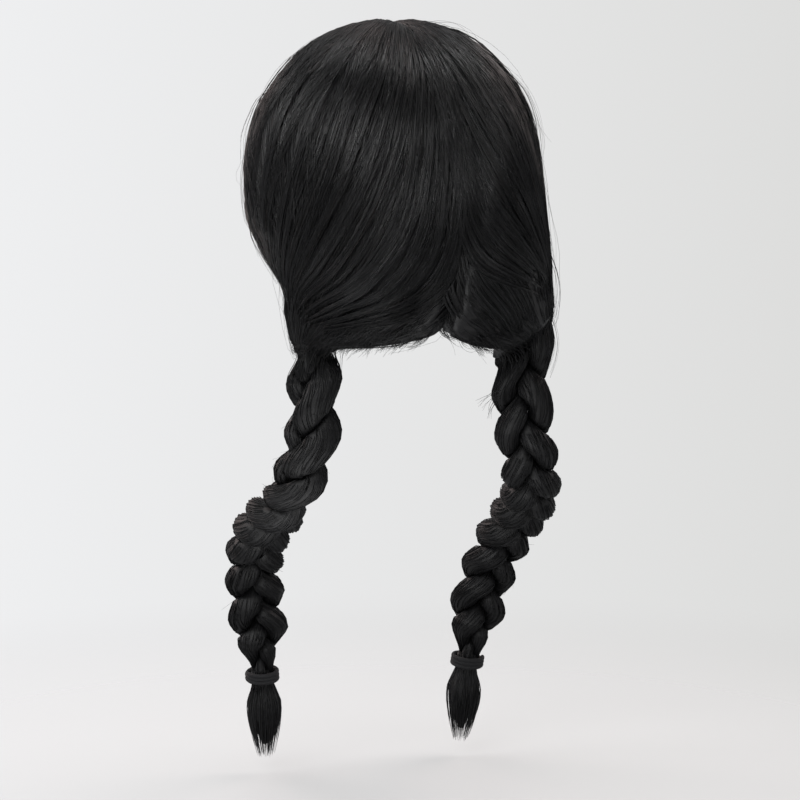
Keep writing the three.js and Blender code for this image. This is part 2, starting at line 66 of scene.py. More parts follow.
# Rim of the cap: degrees from the face towards the back, and its height as a share of the form's size
CAP_RIM = np.array([[0, 0.44], [40, 0.3], [70, -0.03], [95, 0.02], [125, -0.04], [155, -0.16], [180, -0.27]])
CAP_TOP = 0.006  # share of the way to the rim at which the first ring of points lies
RIM_BAND = 0.008
RIM_SWELL = 0.0004
WEFT_SPACING = 0.0095
WEFT_RIDGE = 0.00028
CAP_TURNS, CAP_LEVELS = 144, 60
KNIT_PITCH = 0.0016
CAP_DARK, CAP_LIGHT = (0.0035, 0.0035, 0.004, 1), (0.022, 0.022, 0.025, 1)


def smooth(low, high, x):
    """Share of the way from low to high, eased at both ends: 3 x^2 - 2 x^3."""
    share = np.clip((x - low) / (high - low), 0, 1)
    return share * share * (3 - 2 * share)


def form_sizes(sides, ends, top, lower):
    """Half width, half length, height above and depth below the widest level of a form outside the head."""
    return HEAD_WIDTH / 2 + sides, HEAD_LENGTH / 2 + ends, CROWN_HEIGHT + top, LOWER_HEIGHT + lower


def on_form(points, form):
    """Point of the rounded form in each point's direction from the head's middle. The form is where the sum
    of (distance / half size) ^ ROUNDNESS is 1; lower down its back tucks in and its sides sweep back."""
    side, end, up, down = form
    d = points - HEAD_MIDDLE
    round_share = np.hypot(d[..., 0] / side, d[..., 1] / end)
    tall_share = np.abs(d[..., 2]) / np.where(d[..., 2] > 0, up, down)
    d = d / ((round_share**ROUNDNESS + tall_share**ROUNDNESS) ** (1 / ROUNDNESS))[..., None]
    back = end * (1 - NAPE_TUCK * smooth(0, TUCK_HEIGHT, -d[..., 2]))
    middle = SIDE_SWEEP * smooth(SWEEP_START, SWEEP_START + SWEEP_HEIGHT, -d[..., 2])
    return np.stack([d[..., 0], middle + d[..., 1] * (back - middle) / end, d[..., 2] - CROWN_HEIGHT], -1)


def grid_faces(rows, columns, wrap=False, first=0):
    """Quads of a grid of points kept row by row; wrap joins the last row to the first."""
    r = np.arange(rows if wrap else rows - 1)[:, None]
    c = np.arange(columns - 1)[None, :]
    below = (r + 1) % rows
    quads = np.stack([r * columns + c, r * columns + c + 1, below * columns + c + 1, below * columns + c], -1)
    return first + quads.reshape(-1, 4)


def closed_piece(name, points, faces, uv=None, marks=None):
    """Closed mesh from points and lists of faces. uv holds one pair for each corner, in the order of the
    faces; marks are named numbers for each point. Faces turn outwards where the signed volume is negative."""
    volume = 0.0
    for f in faces:
        for k in range(1, f.shape[1] - 1):
            a, b, c = points[f[:, 0]], points[f[:, k]], points[f[:, k + 1]]
            volume += np.einsum("ij,ij->", a, np.cross(b, c))
    if volume < 0:
        if uv is not None:
            shares = np.split(uv, np.cumsum([f.size for f in faces])[:-1])
            turned = [share.reshape(*f.shape, 2)[:, ::-1] for share, f in zip(shares, faces)]
            uv = np.concatenate([share.reshape(-1, 2) for share in turned])
        faces = [f[:, ::-1] for f in faces]
    corners = np.concatenate([f.ravel() for f in faces])
    sizes = np.concatenate([np.full(len(f), f.shape[1]) for f in faces])
    mesh = bpy.data.meshes.new(name)
    mesh.vertices.add(len(points))
    mesh.loops.add(len(corners))
    mesh.polygons.add(len(sizes))
    mesh.vertices.foreach_set("co", points.astype(np.float32).ravel())
    mesh.loops.foreach_set("vertex_index", corners.astype(np.int32))
    mesh.polygons.foreach_set("loop_start", (np.cumsum(sizes) - sizes).astype(np.int32))
    mesh.polygons.foreach_set("use_smooth", np.ones(len(sizes), bool))
    mesh.update(calc_edges=True)
    if uv is not None:
        mesh.uv_layers.new(name="OFBake").data.foreach_set("uv", uv.astype(np.float32).ravel())
    for word, values in (marks or {}).items():
        numbers = mesh.attributes.new(word, "FLOAT", "POINT").data
        numbers.foreach_set("value", values.astype(np.float32).ravel())
    piece = bpy.data.objects.new(name, mesh)
    bpy.context.scene.collection.objects.link(piece)
    return piece


def node_adder(tree):
    """Function that adds a node to a tree. Its inputs are named i0, i1 and so on, or as Blender names them,
    and take a value or another node's output."""
    def node(kind, settings=(), **inputs):
        made = tree.nodes.new(kind)
        for word, value in settings:
            setattr(made, word, value)
        for word, value in inputs.items():
            socket = made.inputs[int(word[1:])] if word[1:].isdigit() else made.inputs[word.replace("_", " ")]
            if hasattr(value, "links"):
                tree.links.new(value, socket)
            else:
                socket.default_value = value
        return made

    return node


def finish_nodes(name, roughness, specular):
    """New material with a Principled shader, a function that adds nodes to it and one that joins a node's
    output to an input of the shader."""
    material = bpy.data.materials.new(name)
    material.use_nodes = True
    tree = material.node_tree
    shader = tree.nodes["Principled BSDF"]
    shader.inputs["Roughness"].default_value = roughness
    shader.inputs["Specular IOR Level"].default_value = specular

    def join(source, word):
        tree.links.new(source, shader.inputs[word])

    return material, node_adder(tree), join


def cap_wall(form, thick):
    """Wall of the cap as a grid over the turn round the head and the level from crown to rim.
    Each point is the rounded form's in that direction, moved outwards by thick at its level."""
    turn = np.linspace(0, 360, CAP_TURNS, endpoint=False)
    fold = np.minimum(turn, 360 - turn)
    row = np.clip(np.searchsorted(CAP_RIM[:, 0], fold, side="right") - 1, 0, len(CAP_RIM) - 2)
    share = (fold - CAP_RIM[row, 0]) / (CAP_RIM[row + 1, 0] - CAP_RIM[row, 0])
    rim = CAP_RIM[row, 1] + (CAP_RIM[row + 1, 1] - CAP_RIM[row, 1]) * smooth(0, 1, share)
    low = np.arccos(np.clip(rim, 0, 1)) + np.arctan(np.maximum(-rim, 0) * LOWER_HEIGHT / (HEAD_WIDTH / 2))
    level = np.linspace(CAP_TOP, 1, CAP_LEVELS)
    tip = low[:, None] * level[None, :]
    a = np.radians(turn)[:, None]
    way = np.stack([np.sin(a) * np.sin(tip), -np.cos(a) * np.sin(tip), np.cos(tip)], -1)
    wall = on_form(HEAD_MIDDLE + CROWN_HEIGHT * way, form)
    steps = np.linalg.norm(np.diff(wall, axis=1), axis=2)
    run = np.concatenate([np.zeros((CAP_TURNS, 1)), np.cumsum(steps, 1)], 1)
    return wall + way * thick(run, run[:, -1:] - run)[..., None], run


def cap_outside(run, to_rim):
    """Raised weft rows, and the band at the rim."""
    row = np.abs((run / WEFT_SPACING) % 1 - 0.5) * 2
    band = smooth(RIM_BAND, RIM_BAND * 0.8, to_rim)
    return WEFT_RIDGE * smooth(0.72, 1, row) + RIM_SWELL * band


def cap_inside(run, to_rim):
    """Stitch lines of the weft rows, and the band at the rim, towards the head."""
    row = np.abs((run / WEFT_SPACING) % 1 - 0.5) * 2
    band = smooth(RIM_BAND, RIM_BAND * 0.8, to_rim)
    return -0.5 * WEFT_RIDGE * smooth(0.8, 1, row) - 0.5 * RIM_SWELL * band


def round_map(around, along_it, faces, width):
    """Map places of the corners of faces that run round a piece, with the way round as wide as given. A face
    that crosses the seam keeps on past 1."""
    pairs = []
    for f in faces:
        u = around[f]
        u = np.where((u.max(1) - u.min(1) > 0.5)[:, None] & (u < 0.5), u + 1, u)
        pairs.append(np.stack([u * width, along_it[f]], -1).reshape(-1, 2))
    return np.concatenate(pairs)


outside, run = cap_wall(form_sizes(CAP_WALL, CAP_WALL, CAP_WALL, CAP_WALL), cap_outside)
inside, _ = cap_wall(form_sizes(0, 0, 0, 0), cap_inside)
sheet_size = CAP_TURNS * CAP_LEVELS
middles = np.stack([outside[:, 0].mean(0), inside[:, 0].mean(0)])
points = np.concatenate([outside.reshape(-1, 3), inside.reshape(-1, 3), middles])
here = np.arange(CAP_TURNS)
top = here * CAP_LEVELS
next_top = (here + 1) % CAP_TURNS * CAP_LEVELS
rim, next_rim = top + CAP_LEVELS - 1, next_top + CAP_LEVELS - 1
faces = [
    grid_faces(CAP_TURNS, CAP_LEVELS, wrap=True)[:, ::-1],
    grid_faces(CAP_TURNS, CAP_LEVELS, wrap=True, first=sheet_size),
    np.stack([next_rim, rim, rim + sheet_size, next_rim + sheet_size], 1)[:, ::-1],
    np.stack([np.full(CAP_TURNS, 2 * sheet_size), top, next_top], 1),
    np.stack([np.full(CAP_TURNS, 2 * sheet_size + 1), next_top + sheet_size, top + sheet_size], 1),
]
around = np.repeat(here / CAP_TURNS, CAP_LEVELS)
share = run.ravel() / run.max()
across = np.concatenate([around, around, [0, 0]])
down = np.concatenate([share * 0.48, 0.52 + share * 0.48, [0, 0.52]])
cap = closed_piece("cap_knit", points, faces, round_map(across, down, faces, 0.99))

knit, node, join = finish_nodes("knitted_net", 0.82, 0.25)
place = node("ShaderNodeUVMap", [("uv_map", "OFBake")]).outputs[0]
stitches = node("ShaderNodeMapping", i0=place, Scale=(0.5 / KNIT_PITCH, 0.34 / KNIT_PITCH, 1)).outputs[0]
loops = node("ShaderNodeTexVoronoi", [("feature", "DISTANCE_TO_EDGE")], Vector=stitches, Scale=1.0)
yarn = node("ShaderNodeMapRange", i0=loops.outputs["Distance"], i1=0.0, i2=0.32, i3=1.0, i4=0.0).outputs[0]
wear = node("ShaderNodeTexNoise", Vector=place, Scale=14.0, Detail=3.0).outputs[0]
mixed = node("ShaderNodeMath", [("operation", "MULTIPLY")], i0=yarn, i1=wear).outputs[0]
tint = node("ShaderNodeMix", [("data_type", "RGBA")], i0=mixed, i6=CAP_DARK, i7=CAP_LIGHT).outputs[2]
join(tint, "Base Color")
join(node("ShaderNodeBump", Strength=0.6, Distance=0.0004, Height=yarn).outputs[0], "Normal")
cap.data.materials.append(knit)
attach(cap, "root")
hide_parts("wig_cap")

# Hair halves: the dense bulk
# Each half of the hair is sewn in rows along the parting and combed down over the cap to the gather behind
# the ear. The bulk is the closed mass of fibre under the loose outer strands, with the larger locks in its
# relief.
HAIR_OUTER = form_sizes(0.0205, 0.020, 0.018, 0.015)
HAIR_INNER = form_sizes(0.0027, 0.0027, 0.0027, 0.0027)
# Fan of each half: root angle in degrees back along the parting, bend point out, back and up as shares of
# the form's sizes, pull towards it, and the share of the way down where a strand leaves the head
LEFT_FAN = np.array([
    [-60, 0.84, -0.57, -0.23, 1.5, 0.71],
    [-32, 1.25, 0.02, 0.13, 0.36, 0.83],
    [0, 0.98, 0.88, 0.84, 1.9, 0.46],
    [9, 0.12, 1.90, -0.52, 2.3, 0.59],
    [18, 0.00, 0.90, -0.99, 22.0, 0.80],
])
RIGHT_FAN = np.array([
    [-60, 0.90, -0.64, -0.23, 1.1, 0.41],
    [-35, 1.17, -0.52, 0.10, 1.36, 0.73],
    [-17, 0.95, 0.83, 1.62, 1.1, 0.62],
    [5, 0.24, 1.52, -0.12, 5.0, 0.30],
    [18, 0.00, 0.90, -0.99, 22.0, 0.89],
])
LOWER_BEND = 0.93  # of the height above the widest level, for bend points below it
CURVE_STEPS = 241  # points at which a strand's length is measured
ROW_CROWDING = 1.12  # above 1 the rows of points are closer together near the roots
GATHER_OUT, GATHER_BACK = 0.0715, 0.057
GATHER_WIDE, GATHER_DEEP = 0.0165, 0.0155  # half sizes of a gather's oval rim
RIM_OUTER = -95, 210  # where the outer sheet's strands end on the rim: first angle and sweep, in degrees
RIM_INNER = 255, -130  # the same for the inner sheet
WAIST_START = 0.91  # share of the way down from which a half draws in to its gather's width
EDGE_SHARE, EDGE_WIDTH = 0.28, 0.13  # thickness of a free edge, and how far in it grows to the full one
LOCKS, LOCK_DEPTH = 7, 0.0022  # the large ones of a half, and their relief
PARTING_DEPTH, PARTING_WIDTH, PARTING_LOW_SHARE = 0.0026, 0.006, 0.1
PARTING_SHARP, PARTING_FADE = 0.030, 0.050  # lengths over which it is sharp, and then fades
HALVES_MEET = 0.79  # share of the way down to which the halves meet at the middle of the back
CROSS_OVER = 0.001, 0.012  # how far loose strands may cross the middle, at the crown and low on the back
PIECE_GAP = 0.0003
BULK_SINK = 0.0011  # how far the bulk lies under the outer strands
FINE_LOCKS = ((17, 0.0007, 0.9), (41, 0.00045, 2.1), (97, 0.0002, 4.2))  # count, depth, turns of their drift
SHEET_ACROSS, SHEET_ALONG = 141, 81
VIEW_TURN, VIEW_RISE, VIEW_AWAY = 160, 6, 1.8  # the camera's place, from which the runs of locks were judged
VIEW_STEP = 0.00066  # length of one step of the picture at the head's middle
VIEW_MIDDLE = 392, 184.1  # the head's middle in those steps, across and down
MAP_LEFT, MAP_TOP = 200, 10  # first steps of the relief map, across and down
MAP_CELL, MAP_CELLS = 2, 200  # steps in one cell, and cells in each direction
MAP_SAMPLES = 700  # points taken on a sheet in each direction
MAP_RINGS, MAP_SMOOTHINGS = 40, 3  # rings of bare cells that are filled, and rounds of smoothing
BRIDGE_CELLS = 34  # half the width of the valleys that the combed locks lie across, in cells
VALLEY_DEPTH = 0.016  # most that the hair is filled out there
UNDER_BRIDGE = {"outer": 0.0019, "bulk": 0.0031}  # how far each sheet then lies under the bridge
BRAID_DROP = 0.424
LINE_STEPS = 401  # points of a braid's middle line
# Middle line of a braid: out and back as shares of the gather's, down as a share of the way to its end
BRAID_PATH = np.array([
    [1.00, 1.00, 0.00],
    [0.99, 1.01, 0.13],
    [1.02, 1.00, 0.26],
    [1.12, 0.86, 0.37],
    [1.22, 0.56, 0.45],
    [1.27, 0.10, 0.52],
    [1.25, -0.36, 0.61],
    [1.18, -0.68, 0.73],
    [1.10, -0.84, 0.87],
    [1.05, -0.93, 1.00],
])
SLEEVE = 0.009  # length below the gather over which the last hair closes inside the braid
SLEEVE_ROWS = 6
SLEEVE_DRAW = 0.85  # share by which it draws in there
STRAND_LENGTH = 0.3  # length that counts as the whole way down when rows are placed in the sleeve
# Of each side: the gather's drop below the crown, rise of its outer rim, width as a share and shift outwards,
# the weave's first angle, the degrees by which the braid faces round at its top, and how far the strands
# draw in there
SIDES = {
    "left": dict(
        fan=LEFT_FAN, sign=1, seed=11, drop=0.192, tilt=-0.002, waist=0.76, sway=0.0025, turn=0.03, facing=92,
        pinch=0.3,
    ),
    "right": dict(
        fan=RIGHT_FAN, sign=-1, seed=29, drop=0.189, tilt=0.013, waist=1.2, sway=-0.0012, turn=0.9, facing=22,
        pinch=0.1,
    ),
}


def between(a, b, c, d, f):
    """Point at share f of the way from b to c on the cubic with a slope of (c - a) / 2 at b and (d - b) / 2
    at c."""
    return 0.5 * (2 * b + (c - a) * f + (2 * a - 5 * b + 4 * c - d) * f**2 + (3 * b - a - 3 * c + d) * f**3)


def along(rows, share):
    """Smooth curve through evenly spaced rows of numbers, each stretch worked out by between()."""
    last = len(rows) - 1
    spot = np.clip(share, 0, 1) * last
    row = np.minimum(np.floor(spot).astype(int), last - 1)
    return between(*(rows[np.clip(row + k, 0, last)] for k in (-1, 0, 1, 2)), (spot - row)[..., None])


def gather_rim(side, angle):
    """Point on the oval rim of a gather, at an angle in degrees from the outer side towards the back."""
    a = np.radians(angle)
    out = GATHER_OUT + side["sway"] + GATHER_WIDE * np.cos(a)
    back = GATHER_BACK + GATHER_DEEP * np.sin(a)
    return np.stack([out, back, -side["drop"] + side["tilt"] * np.cos(a)], -1)


def braid_middle(side):
    """Middle line of a braid as points with the length up to each: the smooth curve through its path."""
    share = np.linspace(0, 1, LINE_STEPS)
    rows = along(BRAID_PATH, share)
    drop = side["drop"]
    out = GATHER_OUT * rows[:, 0] + side["sway"] * (1 - smooth(0.25, 0.5, share))
    line = np.stack([out, GATHER_BACK * rows[:, 1], -(drop + (BRAID_DROP - drop) * rows[:, 2])], -1)
    length = np.concatenate([[0], np.cumsum(np.linalg.norm(np.diff(line, axis=0), axis=1))])
    return line, length


def at_length(line, length, wanted):
    """Points of a line at the wanted lengths, straight between its own points."""
    return np.stack([np.interp(wanted, length, line[:, k]) for k in range(3)], -1)


def half_sheets(side):
    """Outer and inner sheet of one half as grids, across the fan from the front hairline to the middle of the
    back and along the strands from root to gather. A strand is the weighted three-point curve from its root
    through its bend point to the gather's rim, laid on the rounded form until it comes free. Below the gather
    the rows follow the braid's middle line and draw in to close round it."""
    s = np.linspace(0, 1, SHEET_ACROSS)
    t = np.linspace(0, 1, SHEET_ALONG) ** ROW_CROWDING
    fan = np.column_stack([side["fan"][:, :4], np.log(side["fan"][:, 4]), side["fan"][:, 5]])
    angle, out, back, up, pull, free_from = along(fan, s).T
    turn = np.radians(angle)
    root = on_form(HEAD_MIDDLE + CROWN_HEIGHT * np.stack([0 * s, np.sin(turn), np.cos(turn)], -1), HAIR_OUTER)
    lift = up * np.where(up > 0, 1, LOWER_BEND) * HAIR_OUTER[2] - CROWN_HEIGHT
    bend = np.stack([out * HAIR_OUTER[0], back * HAIR_OUTER[1], lift], -1)
    end = gather_rim(side, RIM_OUTER[0] + RIM_OUTER[1] * s)

    def curve(u):
        weights = np.stack([(1 - u) ** 2, 2 * u * (1 - u) * np.exp(pull)[:, None], u**2], -1)
        weights /= weights.sum(-1, keepdims=True)
        return np.einsum("abk,akc->abc", weights, np.stack([root, bend, end], 1))

    u = np.broadcast_to(np.linspace(0, 1, CURVE_STEPS), (len(s), CURVE_STEPS))
    shown = on_form(curve(u), HAIR_OUTER)
    length = np.cumsum(np.linalg.norm(np.diff(shown, axis=1), axis=2), axis=1)
    length = np.concatenate([np.zeros((len(s), 1)), length], 1)
    u = np.stack([np.interp(t * row[-1], row, u[0]) for row in length])
    line = curve(u)
    shift = gather_rim(side, RIM_INNER[0] + RIM_INNER[1] * s) - end
    free = np.stack([smooth(f, 1, t) for f in free_from])[..., None]
    low = on_form(line, HAIR_INNER) * (1 - free**1.6) + (line + shift[:, None]) * free**1.6
    high = on_form(line, HAIR_OUTER) * (1 - free) + line * free
    waist = (1 + (side["waist"] - 1) * smooth(WAIST_START, 1, t))[None, :, None]
    middle = np.array([GATHER_OUT + side["sway"], GATHER_BACK])
    for sheet in (low, high):
        sheet[..., :2] = middle + (sheet[..., :2] - middle) * waist

    def swell(x):
        return EDGE_SHARE + (1 - EDGE_SHARE) * np.sqrt(np.maximum(0, 1 - (1 - np.minimum(1, x)) ** 2))

    s_grid, t_grid = np.meshgrid(s, t, indexing="ij")
    nape = 1 + (swell((1 - s_grid) / EDGE_WIDTH) - 1) * smooth(0.6, 0.76, t_grid)
    thin = np.minimum(swell(s_grid / EDGE_WIDTH), nape)
    thin = (thin + (1 - thin) * smooth(0.75, 1, t_grid))[..., None]
    high = low + (high - low) * thin

    gaps = np.linspace(0, 1, SLEEVE_ROWS + 1)[1:]
    line_points, line_length = braid_middle(side)
    centre = at_length(line_points, line_length, gaps * SLEEVE)
    draw = (1 - SLEEVE_DRAW * gaps**0.5)[None, :, None]
    start = np.array([*middle, -side["drop"]])
    low = np.concatenate([low, centre[None] + (low[:, -1:] - start) * draw], 1)
    high = np.concatenate([high, centre[None] + (high[:, -1:] - start) * draw], 1)
    return low, high, s, np.concatenate([t, 1 + gaps * SLEEVE / STRAND_LENGTH])


def sheet_normals(sheet):
    """Unit normals of a sheet, from its slopes across and along, turned away from the head's middle."""
    across = np.gradient(sheet, axis=0)
    down = np.gradient(sheet, axis=1)
    across[:, 0] = across[:, 1]
    normal = np.cross(down, across)
    normal *= np.where(np.sum(normal * (sheet - HEAD_MIDDLE), -1, keepdims=True) < 0, -1, 1)
    return normal / np.maximum(np.linalg.norm(normal, axis=-1, keepdims=True), 1e-12)


def lock_relief(s, t, seed):
    """Height of the locks: rounded ridges across the fan, large ones and ever finer ones that drift sideways.
    A ridge is |sin(pi times its count times s)|, and the drift is a slow wave along t added to that angle."""
    rng = np.random.default_rng(seed)
    height = (np.abs(np.sin(np.pi * LOCKS * s)) - 0.6) * LOCK_DEPTH
    for count, depth, turns in FINE_LOCKS:
        phases = rng.uniform(0, 2 * np.pi, 4)
        drift = 0.9 * np.sin(2 * np.pi * turns * 0.6 * t + phases[0] + 5 * s)
        drift = drift + 0.5 * np.sin(9 * s + phases[1])
        strength = 0.6 + 0.4 * np.sin(2 * np.pi * (count * 0.23 * s + 1.1 * t) + phases[2])
        height = height + depth * strength * (np.abs(np.sin(np.pi * count * s + drift)) ** 0.7 - 0.6) * 2
    return height * smooth(0, 0.35, t) * (1 - 0.7 * smooth(0.93, 1, t))


def parting_groove(sheet, t):
    """Depth of the parting: a valley exp(-(x / width)^2) along the middle plane that fades down the back."""
    from_top = np.hypot(sheet[..., 2], np.maximum(0, sheet[..., 1]))
    sharp = 1 - smooth(PARTING_SHARP, PARTING_SHARP + PARTING_FADE, from_top)
    depth = PARTING_DEPTH * (PARTING_LOW_SHARE + (1 - PARTING_LOW_SHARE) * sharp)
    return depth * np.exp(-((sheet[..., 0] / PARTING_WIDTH) ** 2)) * (1 - smooth(0.6, 0.75, t))


def dressed_half(side):
    """The sheets of one half with the locks, the parting and the bulk's own surface a little lower."""
    low, high, s, t = half_sheets(side)
    s_grid, t_grid = np.meshgrid(s, t, indexing="ij")
    normal = sheet_normals(high)
    edge = smooth(0, 0.05, s_grid) * smooth(0, 0.05, 1 - s_grid)
    relief = lock_relief(s_grid, t_grid, side["seed"]) * edge
    groove = parting_groove(high, t_grid)
    outer = high + normal * (relief - groove)[..., None]
    bulk = high + normal * (relief - groove - BULK_SINK)[..., None]
    cross = CROSS_OVER[0] + (CROSS_OVER[1] - CROSS_OVER[0]) * smooth(0.35, 0.6, t_grid)
    outer[..., 0] = np.maximum(outer[..., 0], -cross)
    meets = (t_grid < 1e-6) | ((s_grid > 1 - 1e-6) & (t_grid < HALVES_MEET))
    for sheet in (low, bulk):
        sheet[..., 0] = np.where(meets, PIECE_GAP / 2, np.maximum(PIECE_GAP / 2, sheet[..., 0]))
    return dict(inner=low, bulk=bulk, outer=outer, normal=normal, s=s, t=t)


def mirrored(points, side):
    """Points of the half that belongs on the given side: the right one is the mirror of the left's plan."""
    return points * np.array([side["sign"], 1, 1])


def shell_faces(rows, columns):
    """Quads of two sheets of points, outer then inner, closed all round."""
    size = rows * columns
    r = np.arange(rows - 1)
    c = np.arange(columns - 1)
    top = np.stack([r * columns, (r + 1) * columns, (r + 1) * columns + size, r * columns + size], 1)
    foot = top + columns - 1
    front = np.stack([c, c + size, c + 1 + size, c + 1], 1)
    back = front[:, ::-1] + (rows - 1) * columns
    sheets = [grid_faces(rows, columns)[:, ::-1], grid_faces(rows, columns, first=size)]
    return [*sheets, top, foot[:, ::-1], front, back]


def hair_finish(name, dark, light, warm, roughness):
    """Fibre seen as a mass: fine streaks along the strands in tone and height, with a few warmer ones."""
    material, node, join = finish_nodes(name, roughness, 0.42)
    place = node("ShaderNodeUVMap", [("uv_map", "OFBake")]).outputs[0]
    fine_place = node("ShaderNodeMapping", i0=place, Scale=(900, 5, 1)).outputs[0]
    broad_place = node("ShaderNodeMapping", i0=place, Scale=(160, 3, 1)).outputs[0]
    fine = node("ShaderNodeTexNoise", Vector=fine_place, Scale=1.0, Detail=2.0, Roughness=0.6).outputs[0]
    broad = node("ShaderNodeTexNoise", Vector=broad_place, Scale=1.0, Detail=3.0, Roughness=0.5).outputs[0]
    streak = node("ShaderNodeMath", [("operation", "MULTIPLY")], i0=fine, i1=broad).outputs[0]
    level = node("ShaderNodeMapRange", i0=streak, i1=0.12, i2=0.42).outputs[0]
    tint = node("ShaderNodeMix", [("data_type", "RGBA")], i0=level, i6=dark, i7=light).outputs[2]
    patch = node("ShaderNodeTexNoise", Vector=place, Scale=9.0, Detail=2.0).outputs[0]
    warmth = node("ShaderNodeMapRange", i0=patch, i1=0.45, i2=0.7).outputs[0]
    colour = node("ShaderNodeMix", [("data_type", "RGBA")], i0=warmth, i6=tint, i7=warm).outputs[2]
    join(colour, "Base Color")
    dull, bright = roughness + 0.1, roughness - 0.08
    join(node("ShaderNodeMapRange", i0=streak, i1=0.1, i2=0.45, i3=dull, i4=bright).outputs[0], "Roughness")
    join(node("ShaderNodeBump", Strength=0.55, Distance=0.0005, Height=streak).outputs[0], "Normal")
    return material


def on_sheet(sheet, half, s, t):
    """Points of a sheet at shares s and t, straight between its points and straight on past its edges."""
    rows, columns = sheet.shape[:2]
    a = s * (rows - 1)
    i = np.clip(np.floor(a).astype(int), 0, rows - 2)
    fa = (a - i)[..., None]
    b = np.interp(t, half["t"], np.arange(columns))
    j = np.clip(np.floor(b).astype(int), 0, columns - 2)
    fb = (b - j)[..., None]
    near = sheet[i, j] * (1 - fb) + sheet[i, j + 1] * fb
    far = sheet[i + 1, j] * (1 - fb) + sheet[i + 1, j + 1] * fb
    return near * (1 - fa) + far * fa


turn, rise = np.radians(VIEW_TURN), np.radians(VIEW_RISE)
BACKWARDS = np.array([np.sin(turn) * np.cos(rise), -np.cos(turn) * np.cos(rise), np.sin(rise)])
RIGHTWARDS = np.array([np.cos(turn), np.sin(turn), 0])
UPWARDS = np.cross(RIGHTWARDS, -BACKWARDS)


def seen_place(points):
    """Steps across and down at which points are seen, and how far they stand towards the view: the steps
    are the lengths across and up, over the step's own length at that distance."""
    d = points - HEAD_MIDDLE
    near = d @ BACKWARDS
    scale = 1 / VIEW_STEP / (1 - near / VIEW_AWAY)
    return VIEW_MIDDLE[0] + d @ RIGHTWARDS * scale, VIEW_MIDDLE[1] - d @ UPWARDS * scale, near


def real_place(x, y, near):
    """Points in space for steps across and down and a distance towards the view: seen_place turned round."""
    scale = VIEW_STEP * (1 - near / VIEW_AWAY)
    u, v = (x - VIEW_MIDDLE[0]) * scale, (VIEW_MIDDLE[1] - y) * scale
    return HEAD_MIDDLE + u[..., None] * RIGHTWARDS + v[..., None] * UPWARDS + near[..., None] * BACKWARDS


def relief_map(halves):
    """Grid of how far the hair stands towards the view behind it, from both halves' outer sheets, with the
    valley between them filled up to a straight bridge. Cells without hair take the mean of their neighbours,
    ring by ring, and the whole is smoothed. Also which cells hold hair."""
    shape = MAP_CELLS, MAP_CELLS
    beside = (0, 1), (1, 0), (0, -1), (-1, 0)
    near = np.full(shape, -1.0)
    for word, side in SIDES.items():
        half = halves[word]
        across, down = np.linspace(0, 1, MAP_SAMPLES), np.linspace(0, half["t"][-1], MAP_SAMPLES)
        s, t = np.meshgrid(across, down, indexing="ij")
        x, y, depth = seen_place(mirrored(on_sheet(half["outer"], half, s, t), side))
        i, j = ((y - MAP_TOP) / MAP_CELL).astype(int), ((x - MAP_LEFT) / MAP_CELL).astype(int)
        inside = (i >= 0) & (i < shape[0]) & (j >= 0) & (j < shape[1])
        np.maximum.at(near, (i[inside], j[inside]), depth[inside])
    held = near > -0.5
    near = np.where(held, near, 0)
    for k in range(1, BRIDGE_CELLS):
        both = np.roll(held, k, 1) & np.roll(held, -k, 1)
        level = (np.roll(near, k, 1) + np.roll(near, -k, 1)) / 2
        near = np.where(held & both, np.maximum(near, level), near)
    known = held.astype(float)
    for _ in range(MAP_RINGS):
        total, count = np.zeros(shape), np.zeros(shape)
        for step in beside:
            total += np.roll(near * known, step, (0, 1))
            count += np.roll(known, step, (0, 1))
        fresh = (known == 0) & (count > 0)
        near = np.where(fresh, total / np.maximum(count, 1), near)
        known = np.where(fresh, 1.0, known)
    for _ in range(MAP_SMOOTHINGS):
        near = (near * 2 + sum(np.roll(near, step, (0, 1)) for step in beside)) / 6
    return near, held


def from_map(grid, x, y):
    """Value of a map's grid at steps across and down, straight between its cells."""
    i = np.clip((y - MAP_TOP) / MAP_CELL - 0.5, 0, MAP_CELLS - 1.001)
    j = np.clip((x - MAP_LEFT) / MAP_CELL - 0.5, 0, MAP_CELLS - 1.001)
    a, b = i.astype(int), j.astype(int)
    fi, fj = i - a, j - b
    upper = grid[a, b] * (1 - fj) + grid[a, b + 1] * fj
    lower = grid[a + 1, b] * (1 - fj) + grid[a + 1, b + 1] * fj
    return upper * (1 - fi) + lower * fi


def filled_valley(half, side):
    """Moves the sheets of one half straight back where they lie lower than the bridge over the valley."""
    for word, depth in UNDER_BRIDGE.items():
        sheet = mirrored(half[word], side)
        x, y, near = seen_place(sheet)
        facing = smooth(0.15, 0.5, mirrored(half["normal"], side) @ BACKWARDS)
        lift = np.clip(from_map(near_map, x, y) - depth - near, 0, VALLEY_DEPTH) * facing
        half[word][..., 1] += lift / BACKWARDS[1]


